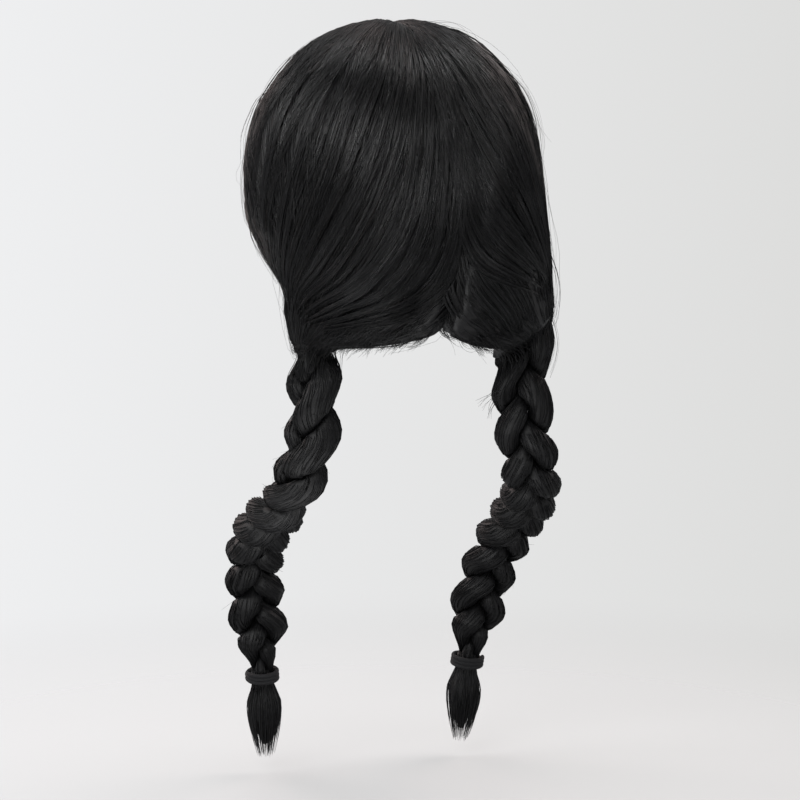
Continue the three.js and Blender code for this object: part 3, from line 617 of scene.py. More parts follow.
BULK_DARK, BULK_LIGHT = (0.0022, 0.0022, 0.0025, 1), (0.009, 0.0088, 0.0097, 1)
BULK_WARM = (0.008, 0.0064, 0.006, 1)
bulk_fibre = hair_finish("hair_bulk_fibre", BULK_DARK, BULK_LIGHT, BULK_WARM, 0.36)
halves = {word: dressed_half(side) for word, side in SIDES.items()}
near_map, held_map = relief_map(halves)
for word, side in SIDES.items():
    half = halves[word]
    filled_valley(half, side)
    rows, columns = half["bulk"].shape[:2]
    points = np.concatenate([half["bulk"].reshape(-1, 3), half["inner"].reshape(-1, 3)])
    faces = shell_faces(rows, columns)
    s_grid, t_grid = np.meshgrid(half["s"], half["t"] / half["t"][-1], indexing="ij")
    across = np.concatenate([s_grid.ravel() * 0.49, 0.51 + s_grid.ravel() * 0.49])
    down = np.concatenate([t_grid.ravel(), t_grid.ravel()])
    uv = np.concatenate([np.stack([across[f], down[f]], -1).reshape(-1, 2) for f in faces])
    bulk = closed_piece(f"hair_{word}_bulk", mirrored(points, side), faces, uv)
    bulk.data.materials.append(bulk_fibre)
    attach(bulk, "root")
    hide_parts(f"hair_{word}")

# Hair halves: the laid strands
# Loose strands lie over the bulk in two layers, each a thin closed tube that stands for a few fibres. They
# start at the parting, keep together in locks, cross a little and end in the sleeve round the braid's top.
STRAND_STATIONS = 21
UNDER_STRANDS, OVER_STRANDS = 300, 650
UNDER_RADIUS, OVER_RADIUS = 0.00046, 0.00028
UNDER_LIFT, OVER_LIFT = (-0.0009, -0.0004), (-0.0005, 0.0003)  # lowest and highest over the outer sheet
UNDER_SPREAD, OVER_SPREAD = 0.012, 0.018  # share of the fan over which a strand drifts
UNDER_PER_LOCK, OVER_PER_LOCK = 8, 12  # strands that keep together in one lock
WHOLE_STRANDS = 0.9  # share of the strands that reach the gather; the others end above it
FRONT_DENSE = 1.25  # above 1 the strands are closer together towards the front hairline
FAN_REACH = -0.012, 1.015  # shares of the fan beyond its two edges to which strands may stray
ROOT_SINK, END_SINK = 0.0003, 0.0022  # how far a strand dips into the bulk at its root and at its end
INNER_STRANDS, INNER_STATIONS, INNER_RADIUS = 200, 11, 0.0004
THICKNESS = 0.6, 1.25  # of the thinnest and thickest strand, as shares of the radius
UNDER_TONE, OVER_TONE, INNER_TONE = (1.3, 3.5), (1.2, 2.2), (1.2, 3.0)  # draws from dark (0) to light (1)
ANY_ANGLE = 0, 6.3  # where a sine wave may start, anywhere in its turn
INSIDE_PLACE = np.array([0, 0.02, -0.11])  # in the head's middle; strands lie outwards from there


def tubes(name, paths, radius, tone, side, columns=4):
    """Three-sided closed tubes along many paths at once. At each station three corners stand round the path,
    one outwards from the head; the ends close with a triangle. Each tube has its own strip of the map."""
    count, stations = paths.shape[:2]
    ahead = np.gradient(paths, axis=1)
    ahead /= np.maximum(np.linalg.norm(ahead, axis=-1, keepdims=True), 1e-12)
    outward = paths - INSIDE_PLACE
    beside = np.cross(ahead, outward)
    beside /= np.maximum(np.linalg.norm(beside, axis=-1, keepdims=True), 1e-12)
    outward = np.cross(beside, ahead)
    corner = np.radians([90, 210, 330])
    ring = np.cos(corner)[:, None] * beside[:, :, None] + np.sin(corner)[:, None] * outward[:, :, None]
    points = (paths[:, :, None] + ring * radius[:, :, None, None]).reshape(-1, 3)
    n = np.arange(count)[:, None, None]
    m = np.arange(stations - 1)[None, :, None]
    c = np.arange(3)[None, None, :]
    base = (n * stations + m) * 3
    quads = np.stack([base + c, base + (c + 1) % 3, base + 3 + (c + 1) % 3, base + 3 + c], -1).reshape(-1, 4)
    first = np.arange(count) * stations * 3
    last = first + (stations - 1) * 3
    ends = [np.stack([first + 2, first + 1, first], 1), np.stack([last, last + 1, last + 2], 1)]
    rows = int(np.ceil(count / columns))
    left, low = (np.arange(count) // rows) / columns, (np.arange(count) % rows) / rows
    u0 = left[:, None, None] + (0.02 + 0.96 * m / (stations - 1)) / columns
    u1 = left[:, None, None] + (0.02 + 0.96 * (m + 1) / (stations - 1)) / columns
    v0 = low[:, None, None] + (0.08 + 0.84 * c / 3) / rows
    v1 = low[:, None, None] + (0.08 + 0.84 * (c + 1) / 3) / rows
    u0, u1, v0, v1 = np.broadcast_arrays(u0, u1, v0, v1)
    uv = np.stack([np.stack(pair, -1) for pair in ((u0, v0), (u0, v1), (u1, v1), (u1, v0))], 3)
    end_uv = np.stack([np.tile(left, 2), np.tile(low + 0.5 / rows, 2)], -1)[:, None].repeat(3, 1)
    uv = np.concatenate([uv.reshape(-1, 2), end_uv.reshape(-1, 2)])
    marks = {
        "tone": np.repeat(tone, stations * 3),
        "reach": np.tile(np.repeat(np.linspace(0, 1, stations), 3), count),
    }
    return closed_piece(name, mirrored(points, side), [quads, np.concatenate(ends)], uv, marks)


def strand_finish(name, dark, light, warm, roughness, shine):
    """Single strands: each has its own tone from dark to light, some are warmer, all darken to the root."""
    material, node, join = finish_nodes(name, roughness, shine)
    tone = node("ShaderNodeAttribute", [("attribute_name", "tone")]).outputs["Fac"]
    reach = node("ShaderNodeAttribute", [("attribute_name", "reach")]).outputs["Fac"]
    tint = node("ShaderNodeMix", [("data_type", "RGBA")], i0=tone, i6=dark, i7=light).outputs[2]
    warmth = node("ShaderNodeMapRange", i0=tone, i1=0.82, i2=0.97).outputs[0]
    warmer = node("ShaderNodeMix", [("data_type", "RGBA")], i0=warmth, i6=tint, i7=warm).outputs[2]
    # darker over the first quarter of each strand's length, down to the dark tone at its root
    toward_tip = node("ShaderNodeMapRange", i0=reach, i1=0.0, i2=0.25).outputs[0]
    colour = node("ShaderNodeMix", [("data_type", "RGBA")], i0=toward_tip, i6=dark, i7=warmer).outputs[2]
    join(colour, "Base Color")
    dull, bright = roughness + 0.14, roughness - 0.14
    join(node("ShaderNodeMapRange", i0=tone, i3=dull, i4=bright).outputs[0], "Roughness")
    return material


STRAND_DARK, STRAND_LIGHT = (0.0025, 0.0025, 0.0028, 1), (0.012, 0.012, 0.0135, 1)
STRAND_WARM = (0.014, 0.0105, 0.0095, 1)
strand_fibre = strand_finish("hair_strand_fibre", STRAND_DARK, STRAND_LIGHT, STRAND_WARM, 0.3, 0.5)


def laid_strands(half, count, radius, rng, lift, spread, per_lock):
    """Paths over the outer sheet. A strand holds its place across the fan but for a slow drift, the sum of
    two sine waves, draws near its lock's middle half way down, and rises and sinks a little as a third."""
    share = np.linspace(0, 1, STRAND_STATIONS)[None, :]
    whole = rng.random(count) < WHOLE_STRANDS
    t = share * np.where(whole, 1, rng.uniform(0.55, 0.97, count))[:, None]
    s0 = ((np.arange(count) + rng.uniform(0, 1, count)) / count) ** FRONT_DENSE
    locks = max(1, count // per_lock)
    lock = np.clip((s0 * locks).astype(int), 0, locks - 1)
    middle = (np.arange(locks) + rng.uniform(0.25, 0.75, locks))[lock] / locks
    together = (0.15 + 0.55 * rng.random(locks))[lock][:, None]
    together = together * smooth(0.05, 0.5, t) * (1 - 0.5 * smooth(0.8, 1, t))
    drift = 0.6 * rng.normal(0, 1, (locks, 2))[lock] + 0.55 * rng.normal(0, 1, (count, 2))
    slow, quick = np.sin(1.5 * np.pi * t) * (1 - 0.3 * t), np.sin(3.1 * np.pi * t) / 2
    wander = drift[:, :1] * slow + drift[:, 1:] * quick
    s = np.clip(s0[:, None] + (middle - s0)[:, None] * together + spread * wander, *FAN_REACH)
    height = lift[0] + (lift[1] - lift[0]) * rng.random(count)[:, None]
    rise = rng.uniform(0.8, 2.4, count)[:, None] * t + rng.random(count)[:, None]
    height = (height + 0.0003 * np.sin(2 * np.pi * rise)) * smooth(-0.02, 0.06, t)
    height = height - ROOT_SINK * (1 - smooth(0, 0.03, t)) - END_SINK * smooth(0.96, 1, t)
    t = t * half["t"][-1]
    path = on_sheet(half["outer"], half, s, t) + on_sheet(half["normal"], half, s, t) * height[..., None]
    own_radius = radius * rng.uniform(*THICKNESS, count)[:, None] * (1 - 0.6 * smooth(0.94, 1, share))
    own_radius = own_radius * (1 - 0.35 * smooth(0.7, 1, t)) * (0.55 + 0.45 * smooth(0, 0.08, t))
    return path, own_radius


def inner_strands(half, rng):
    """Paths over the inner sheet near the gather, where the hair's inside shows. Each holds its place across
    the fan but for one sine wave, at its own small height over or under the sheet."""
    count = INNER_STRANDS
    t = np.linspace(0.45, 1, INNER_STATIONS)[None, :] * half["t"][-1] + rng.uniform(-0.1, 0, count)[:, None]
    s = ((np.arange(count) + rng.uniform(0, 1, count)) / count)[:, None]
    s = s + 0.012 * rng.normal(0, 1, count)[:, None] * np.sin(6 * t + rng.uniform(*ANY_ANGLE, count)[:, None])
    height = rng.uniform(-0.0004, 0.0002, count)[:, None] + 0 * t
    normal = on_sheet(sheet_normals(half["inner"]), half, s, t)
    path = on_sheet(half["inner"], half, s, t) - normal * height[..., None]
    return path, INNER_RADIUS * rng.uniform(*THICKNESS, count)[:, None] + 0 * t


for word, side in SIDES.items():
    half = halves[word]
    rng = np.random.default_rng(side["seed"] + 100)
    path, radius = laid_strands(
        half, UNDER_STRANDS, UNDER_RADIUS, rng, UNDER_LIFT, UNDER_SPREAD, UNDER_PER_LOCK
    )
    under = tubes(f"hair_{word}_under_strands", path, radius, rng.beta(*UNDER_TONE, UNDER_STRANDS), side)
    path, radius = laid_strands(half, OVER_STRANDS, OVER_RADIUS, rng, OVER_LIFT, OVER_SPREAD, OVER_PER_LOCK)
    over = tubes(f"hair_{word}_over_strands", path, radius, rng.beta(*OVER_TONE, OVER_STRANDS), side)
    path, radius = inner_strands(half, rng)
    inner = tubes(f"hair_{word}_inner_strands", path, radius, rng.beta(*INNER_TONE, INNER_STRANDS), side)
    for piece in (under, over, inner):
        piece.data.materials.append(strand_fibre)
        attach(piece, "root")

# Hair halves: the locks combed over the back
# The top locks at the back run from the crown to the two gathers and cross the middle low down, so that no
# parting shows there. They are more of the same strands, laid over both halves and pressed on to them.
RUNS_LEFT = np.array([  # a line of steps from the crown to the left gather, from the outer side to the middle
    [[352, 24], [303, 52], [262, 102], [247, 160], [250, 216], [268, 266], [286, 300], [291, 330]],
    [[366, 24], [322, 58], [284, 108], [267, 165], [262, 220], [272, 268], [287, 302], [292, 332]],
    [[376, 24], [340, 64], [306, 116], [289, 170], [278, 222], [278, 270], [287, 304], [292, 334]],
    [[384, 24], [357, 68], [329, 122], [312, 174], [296, 224], [286, 270], [288, 305], [292, 335]],
    [[390, 24], [374, 72], [352, 126], [336, 178], [316, 226], [298, 270], [291, 303], [293, 336]],
    [[394, 24], [390, 74], [374, 130], [358, 180], [338, 228], [313, 272], [295, 304], [293, 336]],
    [[398, 24], [404, 76], [394, 134], [380, 186], [358, 238], [330, 280], [302, 306], [293, 334]],
    [[402, 24], [416, 78], [412, 138], [400, 194], [380, 248], [350, 290], [315, 314], [295, 331]],
    [[406, 24], [427, 80], [428, 142], [420, 200], [402, 256], [368, 300], [328, 322], [297, 336]],
    [[409, 24], [436, 82], [441, 146], [437, 206], [422, 264], [388, 308], [342, 327], [299, 339]],
    [[412, 24], [443, 84], [452, 150], [451, 210], [441, 266], [410, 308], [358, 331], [300, 342]],
    [[415, 24], [448, 86], [460, 152], [461, 212], [452, 264], [428, 308], [380, 334], [304, 346]],
    [[417, 24], [452, 88], [466, 154], [469, 214], [463, 262], [450, 300], [410, 333], [322, 350]],
])
RUNS_RIGHT = np.array([  # the same for the right side, where the locks wrap round the head over the gather
    [[432, 24], [480, 44], [520, 92], [537, 152], [543, 212], [547, 250], [550, 280], [551, 302]],
    [[424, 24], [468, 52], [508, 102], [530, 160], [541, 214], [546, 250], [550, 282], [551, 303]],
    [[418, 24], [458, 58], [494, 110], [521, 162], [537, 214], [545, 250], [549, 282], [551, 303]],
    [[413, 24], [450, 64], [482, 118], [509, 166], [529, 212], [541, 248], [548, 280], [551, 302]],
    [[409, 24], [443, 70], [470, 126], [494, 172], [517, 214], [534, 248], [546, 276], [551, 300]],
    [[406, 24], [437, 74], [461, 132], [480, 180], [500, 222], [522, 252], [541, 278], [551, 300]],
    [[404, 24], [433, 78], [455, 138], [470, 188], [485, 228], [508, 258], [534, 280], [551, 298]],
    [[402, 24], [430, 80], [450, 142], [464, 194], [474, 234], [494, 264], [524, 284], [551, 299]],
    [[400, 24], [427, 82], [446, 144], [459, 198], [466, 242], [482, 272], [514, 290], [551, 301]],
    [[398, 24], [424, 84], [442, 146], [454, 202], [459, 248], [473, 280], [506, 297], [550, 304]],
])
RUNS_NAPE = np.array([  # under those, from the back of the head along the lower edge into the right braid
    [[445, 170], [450, 212], [448, 252], [442, 288], [443, 312], [456, 331], [478, 345], [494, 356]],
    [[447, 170], [455, 212], [457, 250], [456, 282], [462, 306], [474, 324], [490, 338], [502, 352]],
    [[449, 170], [459, 210], [464, 246], [468, 276], [477, 298], [490, 314], [504, 330], [513, 348]],
    [[451, 170], [464, 208], [474, 242], [484, 268], [496, 288], [509, 304], [520, 322], [526, 342]],
    [[453, 170], [470, 206], [487, 238], [502, 262], [516, 282], [527, 300], [535, 318], [538, 340]],
])
COMB_STATIONS, NAPE_SEED = 17, 541
COMB_TONE = 1.2, 2.4
BARE_FOOT = 60  # cell that stands for the lower edge where a column holds no hair
EDGE_INSET, FOOT_INSET = 2.5, 2  # steps by which the locks stay inside the hair's sides and its lower edge
LOW_RISE, COMB_SINK = 0.0006, 0.0012  # how far locks stand out lower down, and how far their ends dip
# Of each kind: locks, strands in one, radius, lowest and highest over the surface, shares of a run between
# which they start and end, and how much they stray from it
COMBED = dict(
    count=68, per_lock=14, radius=0.00022, lift=(-0.0001, 0.0013), starts=(0, 0.3), ends=(0.86, 1), stray=1
)
STRAY = dict(
    count=46, per_lock=5, radius=0.00017, lift=(0.0011, 0.0017), starts=(0.02, 0.5), ends=(0.5, 0.95),
    stray=3.2,
)
NAPE = dict(
    count=26, per_lock=14, radius=0.00022, lift=(-0.0012, 0.0), starts=(0, 0.3), ends=(0.9, 1), stray=1
)

cells = np.arange(MAP_CELLS)
middle_cell = MAP_CELLS // 2
left_cell = np.where(held_map.any(1), held_map.argmax(1), middle_cell)
right_cell = np.where(held_map.any(1), MAP_CELLS - held_map[:, ::-1].argmax(1), middle_cell)
foot_cell = np.where(held_map.any(0), MAP_CELLS - held_map[::-1].argmax(0), BARE_FOOT)
left_edge, right_edge = MAP_LEFT + MAP_CELL * left_cell, MAP_LEFT + MAP_CELL * right_cell
foot_edge = MAP_TOP + MAP_CELL * foot_cell
row_steps, column_steps = MAP_TOP + MAP_CELL * (cells + 0.5), MAP_LEFT + MAP_CELL * (cells + 0.5)


def combed_locks(runs, rng, count, per_lock, radius, lift, starts, ends, stray):
    """Paths of strands that follow a family of runs, with the radius and tone of each. The family is smooth
    from run to run and along each run, by between(). A lock keeps its own place in it but for two sine waves,
    its strands draw together half way, and each is pressed on the hair below."""
    total = count * per_lock
    lock = np.repeat(np.arange(count), per_lock)
    middle = (np.arange(count) + rng.uniform(0, 1, count))[lock] / count
    own = middle + rng.normal(0, 0.45 / count, total)
    t0 = (starts[0] + (starts[1] - starts[0]) * rng.random(count))[lock] + rng.uniform(0, 0.05, total)
    t1 = (ends[0] + (ends[1] - ends[0]) * rng.random(count))[lock] - rng.uniform(0, 0.06, total)
    share = np.linspace(0, 1, COMB_STATIONS)[None, :]
    t = t0[:, None] + (t1 - t0)[:, None] * share
    s = own[:, None] + (middle - own)[:, None] * (0.75 * np.sin(np.pi * np.clip(t, 0, 1)))
    wander = rng.normal(0, 1, (count, 2))[lock]
    sway = wander[:, :1] * np.sin(np.pi * t) + 0.6 * wander[:, 1:] * np.sin(2.3 * np.pi * t)
    own_wave = rng.normal(0, 1, total)[:, None]
    own_wave = own_wave * np.sin(1.7 * np.pi * t + rng.uniform(*ANY_ANGLE, total)[:, None])
    s = np.clip(s + stray * (0.016 * sway + 0.006 * own_wave), 0, 1)
    last = runs.shape[1] - 1
    lines = along(runs.reshape(len(runs), -1).astype(float), s.ravel()).reshape(*s.shape, last + 1, 2)
    spot = np.clip(t, 0, 1) * last
    row = np.minimum(spot.astype(int), last - 1)
    beside = [np.clip(row + k, 0, last)[..., None, None] for k in (-1, 0, 1, 2)]
    place = between(*(np.take_along_axis(lines, k, 2)[:, :, 0] for k in beside), (spot - row)[..., None])
    x, y = place[..., 0], place[..., 1]
    x = np.maximum(x, np.interp(y, row_steps, left_edge) + EDGE_INSET)
    x = np.minimum(x, np.interp(y, row_steps, right_edge) - EDGE_INSET)
    y = np.minimum(y, np.interp(x, column_steps, foot_edge) - FOOT_INSET)
    points = real_place(x, y, from_map(near_map, x, y))
    away = points - INSIDE_PLACE
    away /= np.linalg.norm(away, axis=-1, keepdims=True)
    height = (lift[0] + (lift[1] - lift[0]) * rng.random(count)[lock]) + rng.normal(0, 0.0002, total)
    height = height[:, None] + LOW_RISE * smooth(0.45, 0.75, t)
    height = height * smooth(0, 0.12, share) * (1 - smooth(0.9, 1, share))
    height = height - COMB_SINK * (1 - smooth(0, 0.06, share) + smooth(0.95, 1, share))
    own_radius = radius * rng.uniform(*THICKNESS, total)[:, None] * (1 - 0.4 * smooth(0.8, 1, share))
    tone = np.clip(rng.beta(*COMB_TONE, total) + rng.normal(0, 0.12, count)[lock], 0, 1)
    return points + away * height[..., None], own_radius + 0 * share, tone


for word, side in SIDES.items():
    rng = np.random.default_rng(side["seed"] + 500)
    runs = RUNS_LEFT if word == "left" else RUNS_RIGHT
    kinds = [combed_locks(runs, rng, **COMBED), combed_locks(runs, rng, **STRAY)]
    path, radius, tone = (np.concatenate(pair) for pair in zip(*kinds))
    combed = tubes(f"hair_{word}_combed_locks", mirrored(path, side), radius, tone, side)
    combed.data.materials.append(strand_fibre)
    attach(combed, "root")

rng = np.random.default_rng(NAPE_SEED)
path, radius, tone = combed_locks(RUNS_NAPE, rng, **NAPE)
nape = tubes("nape_locks", path, radius, tone, SIDES["left"])
nape.data.materials.append(strand_fibre)
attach(nape, "root")

# Hair halves: wisps along the lower edge
# Fine short hairs slip out of the lowest locks and run along the hair's lower edge, and at the middle of the
# nape they curl apart. They are thinner than the sewn strands.
HEM_WISPS, NAPE_CURLS, WISP_STATIONS, WISP_SEED = 420, 130, 9, 71
NAPE_STEP = 436  # steps across at which the lower edge divides
HEM_LEFT, HEM_RIGHT = (318, 432), (440, 486)  # steps across between which wisps leave it on either side
HEM_STEP = 344  # steps down at the lower edge beside the gathers
HEM_RUN, HEM_RISE = (8, 34), (3, 16)  # steps that one runs along the edge, and at which it starts above it
HEM_FALL = 1.4, 2.2  # shape and scale of the draw for the steps that its tip falls below the edge
HEM_PROUD = 0.0006  # how far it stands off the hair at its root
CURL_PLACE = -3, 9  # middle and spread of the curls' roots, in steps from where the edge divides
CURL_RADIUS, CURL_TURN = (4, 12), (0.8, 2.6)  # in steps, and in radians
WISP_RADIUS, WISP_TONE = 0.00015, (1.2, 2.0)
SINGLE_WISPS = np.array([  # steps of wisps that slipped out, first those beside the braids
    [[546, 312], [553, 326], [556, 344], [553, 362], [546, 378]],
    [[545, 318], [551, 330], [554, 346], [551, 360], [545, 374]],
    [[352, 344], [346, 354], [343, 364], [342, 374], [341, 385]],
    [[498, 398], [494, 402], [490, 406], [486, 411], [483, 417]],
    [[499, 402], [495, 406], [492, 410], [489, 415], [487, 421]],
    [[499, 396], [494, 398], [489, 401], [484, 405], [479, 410]],
    [[486, 344], [491, 348], [496, 353], [500, 359], [503, 366]],
    [[492, 343], [497, 348], [501, 354], [503, 361], [505, 369]],
    [[549, 262], [555, 278], [558, 296], [556, 314], [551, 332]],
    [[249, 222], [252, 241], [260, 258], [270, 274], [282, 291]],
    [[272, 88], [257, 101], [249, 118], [243, 138], [244, 164]],
    [[511, 79], [525, 94], [534, 112], [540, 134], [541, 160]],
])
WISP_HAIRS = 4
WISP_INSET = 5  # steps inside the hair's sides at which their distance towards the view is taken
BESIDE_NEAR = 0.016, 0.016, 0.066, 0.034, 0.034, 0.034  # that distance for those beside the braids


def hem_wisps(rng):
    """Paths that leave the lower edge at a flat angle: each keeps a height over the edge that falls to below
    nothing as the square of its share, while it runs outwards from the nape."""
    on_left = HEM_WISPS * 3 // 4
    x0 = np.concatenate([rng.uniform(*HEM_LEFT, on_left), rng.uniform(*HEM_RIGHT, HEM_WISPS - on_left)])
    way = np.where(x0 < NAPE_STEP, -1, 1)
    share = np.linspace(0, 1, WISP_STATIONS)[None, :]
    x = (x0 + way * 8 * rng.random(HEM_WISPS))[:, None]
    x = x + (way * rng.uniform(*HEM_RUN, HEM_WISPS))[:, None] * share
    edge = np.interp(x, column_steps, foot_edge)
    rise = rng.uniform(*HEM_RISE, HEM_WISPS)[:, None]
    fall = rng.gamma(*HEM_FALL, HEM_WISPS)[:, None]
    y = edge - rise * (1 - share) + fall * share**2
    lean = rng.uniform(-0.4, 0.9, HEM_WISPS)[:, None] * 0.001
    return real_place(x, y, from_map(near_map, x, np.minimum(y, edge - 1)) + HEM_PROUD + lean * share)


def nape_curls(rng):
    """Paths of short curls: each falls from the edge of the nape and turns away from the middle on an arc."""
    x0 = NAPE_STEP + rng.normal(*CURL_PLACE, NAPE_CURLS)
    way = np.where(x0 < NAPE_STEP, -1, 1)
    edge = np.interp(x0, column_steps, foot_edge)
    share = np.linspace(0, 1, WISP_STATIONS)[None, :]
    radius = rng.uniform(*CURL_RADIUS, NAPE_CURLS)[:, None]
    turned = rng.uniform(*CURL_TURN, NAPE_CURLS)[:, None] * share
    x = x0[:, None] + way[:, None] * radius * (1 - np.cos(turned))
    y = (edge - rng.uniform(0, 7, NAPE_CURLS))[:, None] + radius * np.sin(turned) + 3 * share
    low = np.interp(x, column_steps, foot_edge) - 1
    lean = 0.0008 * (1 + rng.normal(0, 0.7, NAPE_CURLS)[:, None] * share)
    return real_place(x, y, from_map(near_map, x, np.minimum(y, low)) + lean)


def single_wisps(rng):
    """Paths of a few hairs along each single wisp: the smooth curve through its steps, spread a little."""
    share = np.linspace(0, 1, WISP_STATIONS)
    laid = np.array([along(wisp.astype(float), share) for wisp in SINGLE_WISPS]).repeat(WISP_HAIRS, 0)
    spread = rng.normal(0, 1, (len(laid), 2, 2)) * np.array([1.2, 2.4])[None, :, None]
    laid = laid + spread[:, 0, None] + spread[:, 1, None] * (share**2)[None, :, None]
    x, y = laid[..., 0], laid[..., 1]
    row = np.minimum(y, HEM_STEP)
    inward = np.maximum(x, np.interp(row, row_steps, left_edge) + WISP_INSET)
    inward = np.minimum(inward, np.interp(row, row_steps, right_edge) - WISP_INSET)
    near = from_map(near_map, inward, row)
    near[: len(BESIDE_NEAR) * WISP_HAIRS] = np.repeat(BESIDE_NEAR, WISP_HAIRS)[:, None]
    return real_place(x, y, near)


rng = np.random.default_rng(WISP_SEED)
path = np.concatenate([hem_wisps(rng), nape_curls(rng), single_wisps(rng)])
taper = 1 - 0.6 * np.linspace(0, 1, WISP_STATIONS)[None, :]
radius = WISP_RADIUS * rng.uniform(0.7, 1.4, len(path))[:, None] * taper
wisps = tubes("nape_wisps", path, radius, rng.beta(*WISP_TONE, len(path)), SIDES["left"])
wisps.data.materials.append(strand_fibre)
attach(wisps, "root")

# Braids
# Each braid is three strands of the same fibre, laid over one another in turn. A strand is a soft bundle that
# flattens where it presses on its neighbours, and its fibres run along it with a slight twist.
STRAND_SWING, STRAND_WEAVE = 0.0095, 0.0043  # how far a strand's middle swings sideways and in depth
STRAND_WIDE, STRAND_DEEP = 0.0102, 0.0118  # half sizes of a strand's section
STRAND_PRESS = 0.0005  # gap left between the pressed faces
STRAND_SOFT = 4  # the higher, the squarer the pressed sections
TURN_LENGTH_TOP, TURN_LENGTH_LOW = 0.122, 0.084  # length of one turn of the weave
TURN_EASE = 0.085  # below the gather, where the turns have their lower length
WEAVE_REACH, WEAVE_STEPS = 0.6, 2401  # length over which the weave's angle is added up, and its points
FRONT_FACING = 0  # the way that the braids face in front, in degrees
WAIST_LENGTH = 0.023  # below the gather, where a braid has its full width
UPRIGHT_LENGTH, LEAN_LENGTH = 0.030, 0.060  # where a braid follows its middle line, and no longer its rim
TUCK, TUCK_LENGTH = 0.33, 0.019  # how far the strands' tops draw in under the hair, and down to what length
TOP_HIDDEN = 0.008  # how far the strands reach up inside the gather
NARROW_LENGTH, NARROW_WIDE, NARROW_DEEP = 0.034, 0.36, 0.5  # how a braid narrows into its tie
TIE_HEIGHT = 0.010
BRAID_STATIONS, BRAID_SIDES = 140, 28
CORE_SINK = 0.0004  # how far a strand's core lies under its outline
BRAID_FIBRES, FIBRE_STATIONS = 60, 60
FIBRE_RADIUS, FIBRE_PROUD, FIBRE_TONE = 0.00033, 0.0003, (1.2, 2.6)
FIBRE_TWIST = 0.9  # turns of a fibre round its strand over the whole braid
TOP_STRANDS, TOP_STATIONS, TOP_RADIUS = 250, 14, 0.00032
TOP_TRIES = 12  # places tried for each gathered strand, of which those that face out are kept
TOP_RUN = TOP_STATIONS // 3  # points of a gathered strand that lie along the braid
TOP_SINK = 0.0009  # how far its first point dips into the hair
TOP_FROM = 0.955, 1.0  # shares of the way down between which it leaves the hair
TOP_MEETS = 0.007, 0.018  # lengths below the gather between which it meets the braid
TOP_FOLLOWS = 0.008, 0.024  # length over which it then follows the braid
TOP_FACING, TOP_LONGEST = 0.45, 0.03  # least share that its place faces out, and longest way to it


def braid_frame(side, l):
    """Middle point and the directions down, wide and deep of a braid at lengths l. Wide turns level from the
    braid's facing at its top to straight out in front, and deep is square with both."""
    line, length = braid_middle(side)
    whole = length[-1]
    p = at_length(line, length, l)
    reach = 0.002
    near = np.clip(l, reach, whole - reach)
    down = at_length(line, length, near + reach) - at_length(line, length, near - reach)
    down /= np.linalg.norm(down, axis=-1, keepdims=True)
    upright = 1 - smooth(0, UPRIGHT_LENGTH, l)[..., None]
    down = down * (1 - upright) + np.array([0, 0, -1]) * upright
    down /= np.linalg.norm(down, axis=-1, keepdims=True)
    a = np.radians(side["facing"] + (FRONT_FACING - side["facing"]) * smooth(0.25, 0.6, l / whole))
    wide = np.stack([np.cos(a), np.sin(a), 0 * a], -1)
    wide -= down * np.sum(wide * down, -1, keepdims=True)
    wide /= np.linalg.norm(wide, axis=-1, keepdims=True)
    return p, down, wide, np.cross(wide, down), whole


def weave_turn(side, l):
    """Angle of the weave at length l: the sum of 2 pi / turn length, where turns shorten from the top."""
    steps = np.linspace(0, WEAVE_REACH, WEAVE_STEPS)
    full = TURN_LENGTH_TOP + (TURN_LENGTH_LOW - TURN_LENGTH_TOP) * np.clip(steps / TURN_EASE, 0, 1)
    total = np.concatenate([[0], np.cumsum(2 * np.pi * np.diff(steps) / full[:-1])])
    return side["turn"] + np.interp(l, steps, total)


def strand_outline(turn, k, angle, wide_share, deep_share):
    """Point at an angle on the outline of strand k. The strand's middle swings sideways as sin a and in
    depth as sin 2a. Its radius is 1 / (oval^n + press^n)^(1/n), where press grows towards each neighbour."""
    def middle(j):
        a = turn + j * 2 * np.pi / 3
        across = STRAND_SWING * wide_share * np.sin(a)
        return np.stack([across, STRAND_WEAVE * deep_share * np.sin(2 * a)], -1)

    own = middle(k)
    x, y = np.cos(angle), np.sin(angle)
    total = np.hypot(x / (STRAND_WIDE * wide_share), y / (STRAND_DEEP * deep_share)) ** STRAND_SOFT
    for j in (1, 2):
        way = middle(k + j) - own
        away = np.linalg.norm(way, axis=-1)
        half = away / 2 - STRAND_PRESS / 2
        total = total + np.maximum(0, (x * way[..., 0] + y * way[..., 1]) / (away * half)) ** STRAND_SOFT
    r = total ** (-1 / STRAND_SOFT)
    return own, np.stack([x, y], -1) * r[..., None]


def strand_surface(side, k, l, angle, proud):
    """Points of strand k of a braid at lengths l and angles, standing proud of the outline by a length."""
    p, down, wide, deep, whole = braid_frame(side, l)
    narrow = smooth(0, 1, (l - (whole - NARROW_LENGTH)) / (NARROW_LENGTH - TIE_HEIGHT / 2))
    waist = side["waist"] + (1 - side["waist"]) * smooth(0, WAIST_LENGTH, l)
    waist = waist * (1 - TUCK * (1 - smooth(-TOP_HIDDEN, TUCK_LENGTH, l)))
    wide_share = waist * (1 + (NARROW_WIDE - 1) * narrow)
    deep_share = waist * (1 + (NARROW_DEEP - 1) * narrow)
    own, rim = strand_outline(weave_turn(side, l), k, angle, wide_share, deep_share)
    rim = rim * (1 + proud / np.maximum(np.linalg.norm(rim, axis=-1), 1e-6))[..., None]
    q = p + wide * (own + rim)[..., :1] + deep * (own + rim)[..., 1:]
    lean = side["tilt"] * (q[..., 0] - GATHER_OUT - side["sway"]) / (GATHER_WIDE * side["waist"])
    q[..., 2] += lean * (1 - smooth(0, LEAN_LENGTH, l)) - np.minimum(l, 0)
    return q


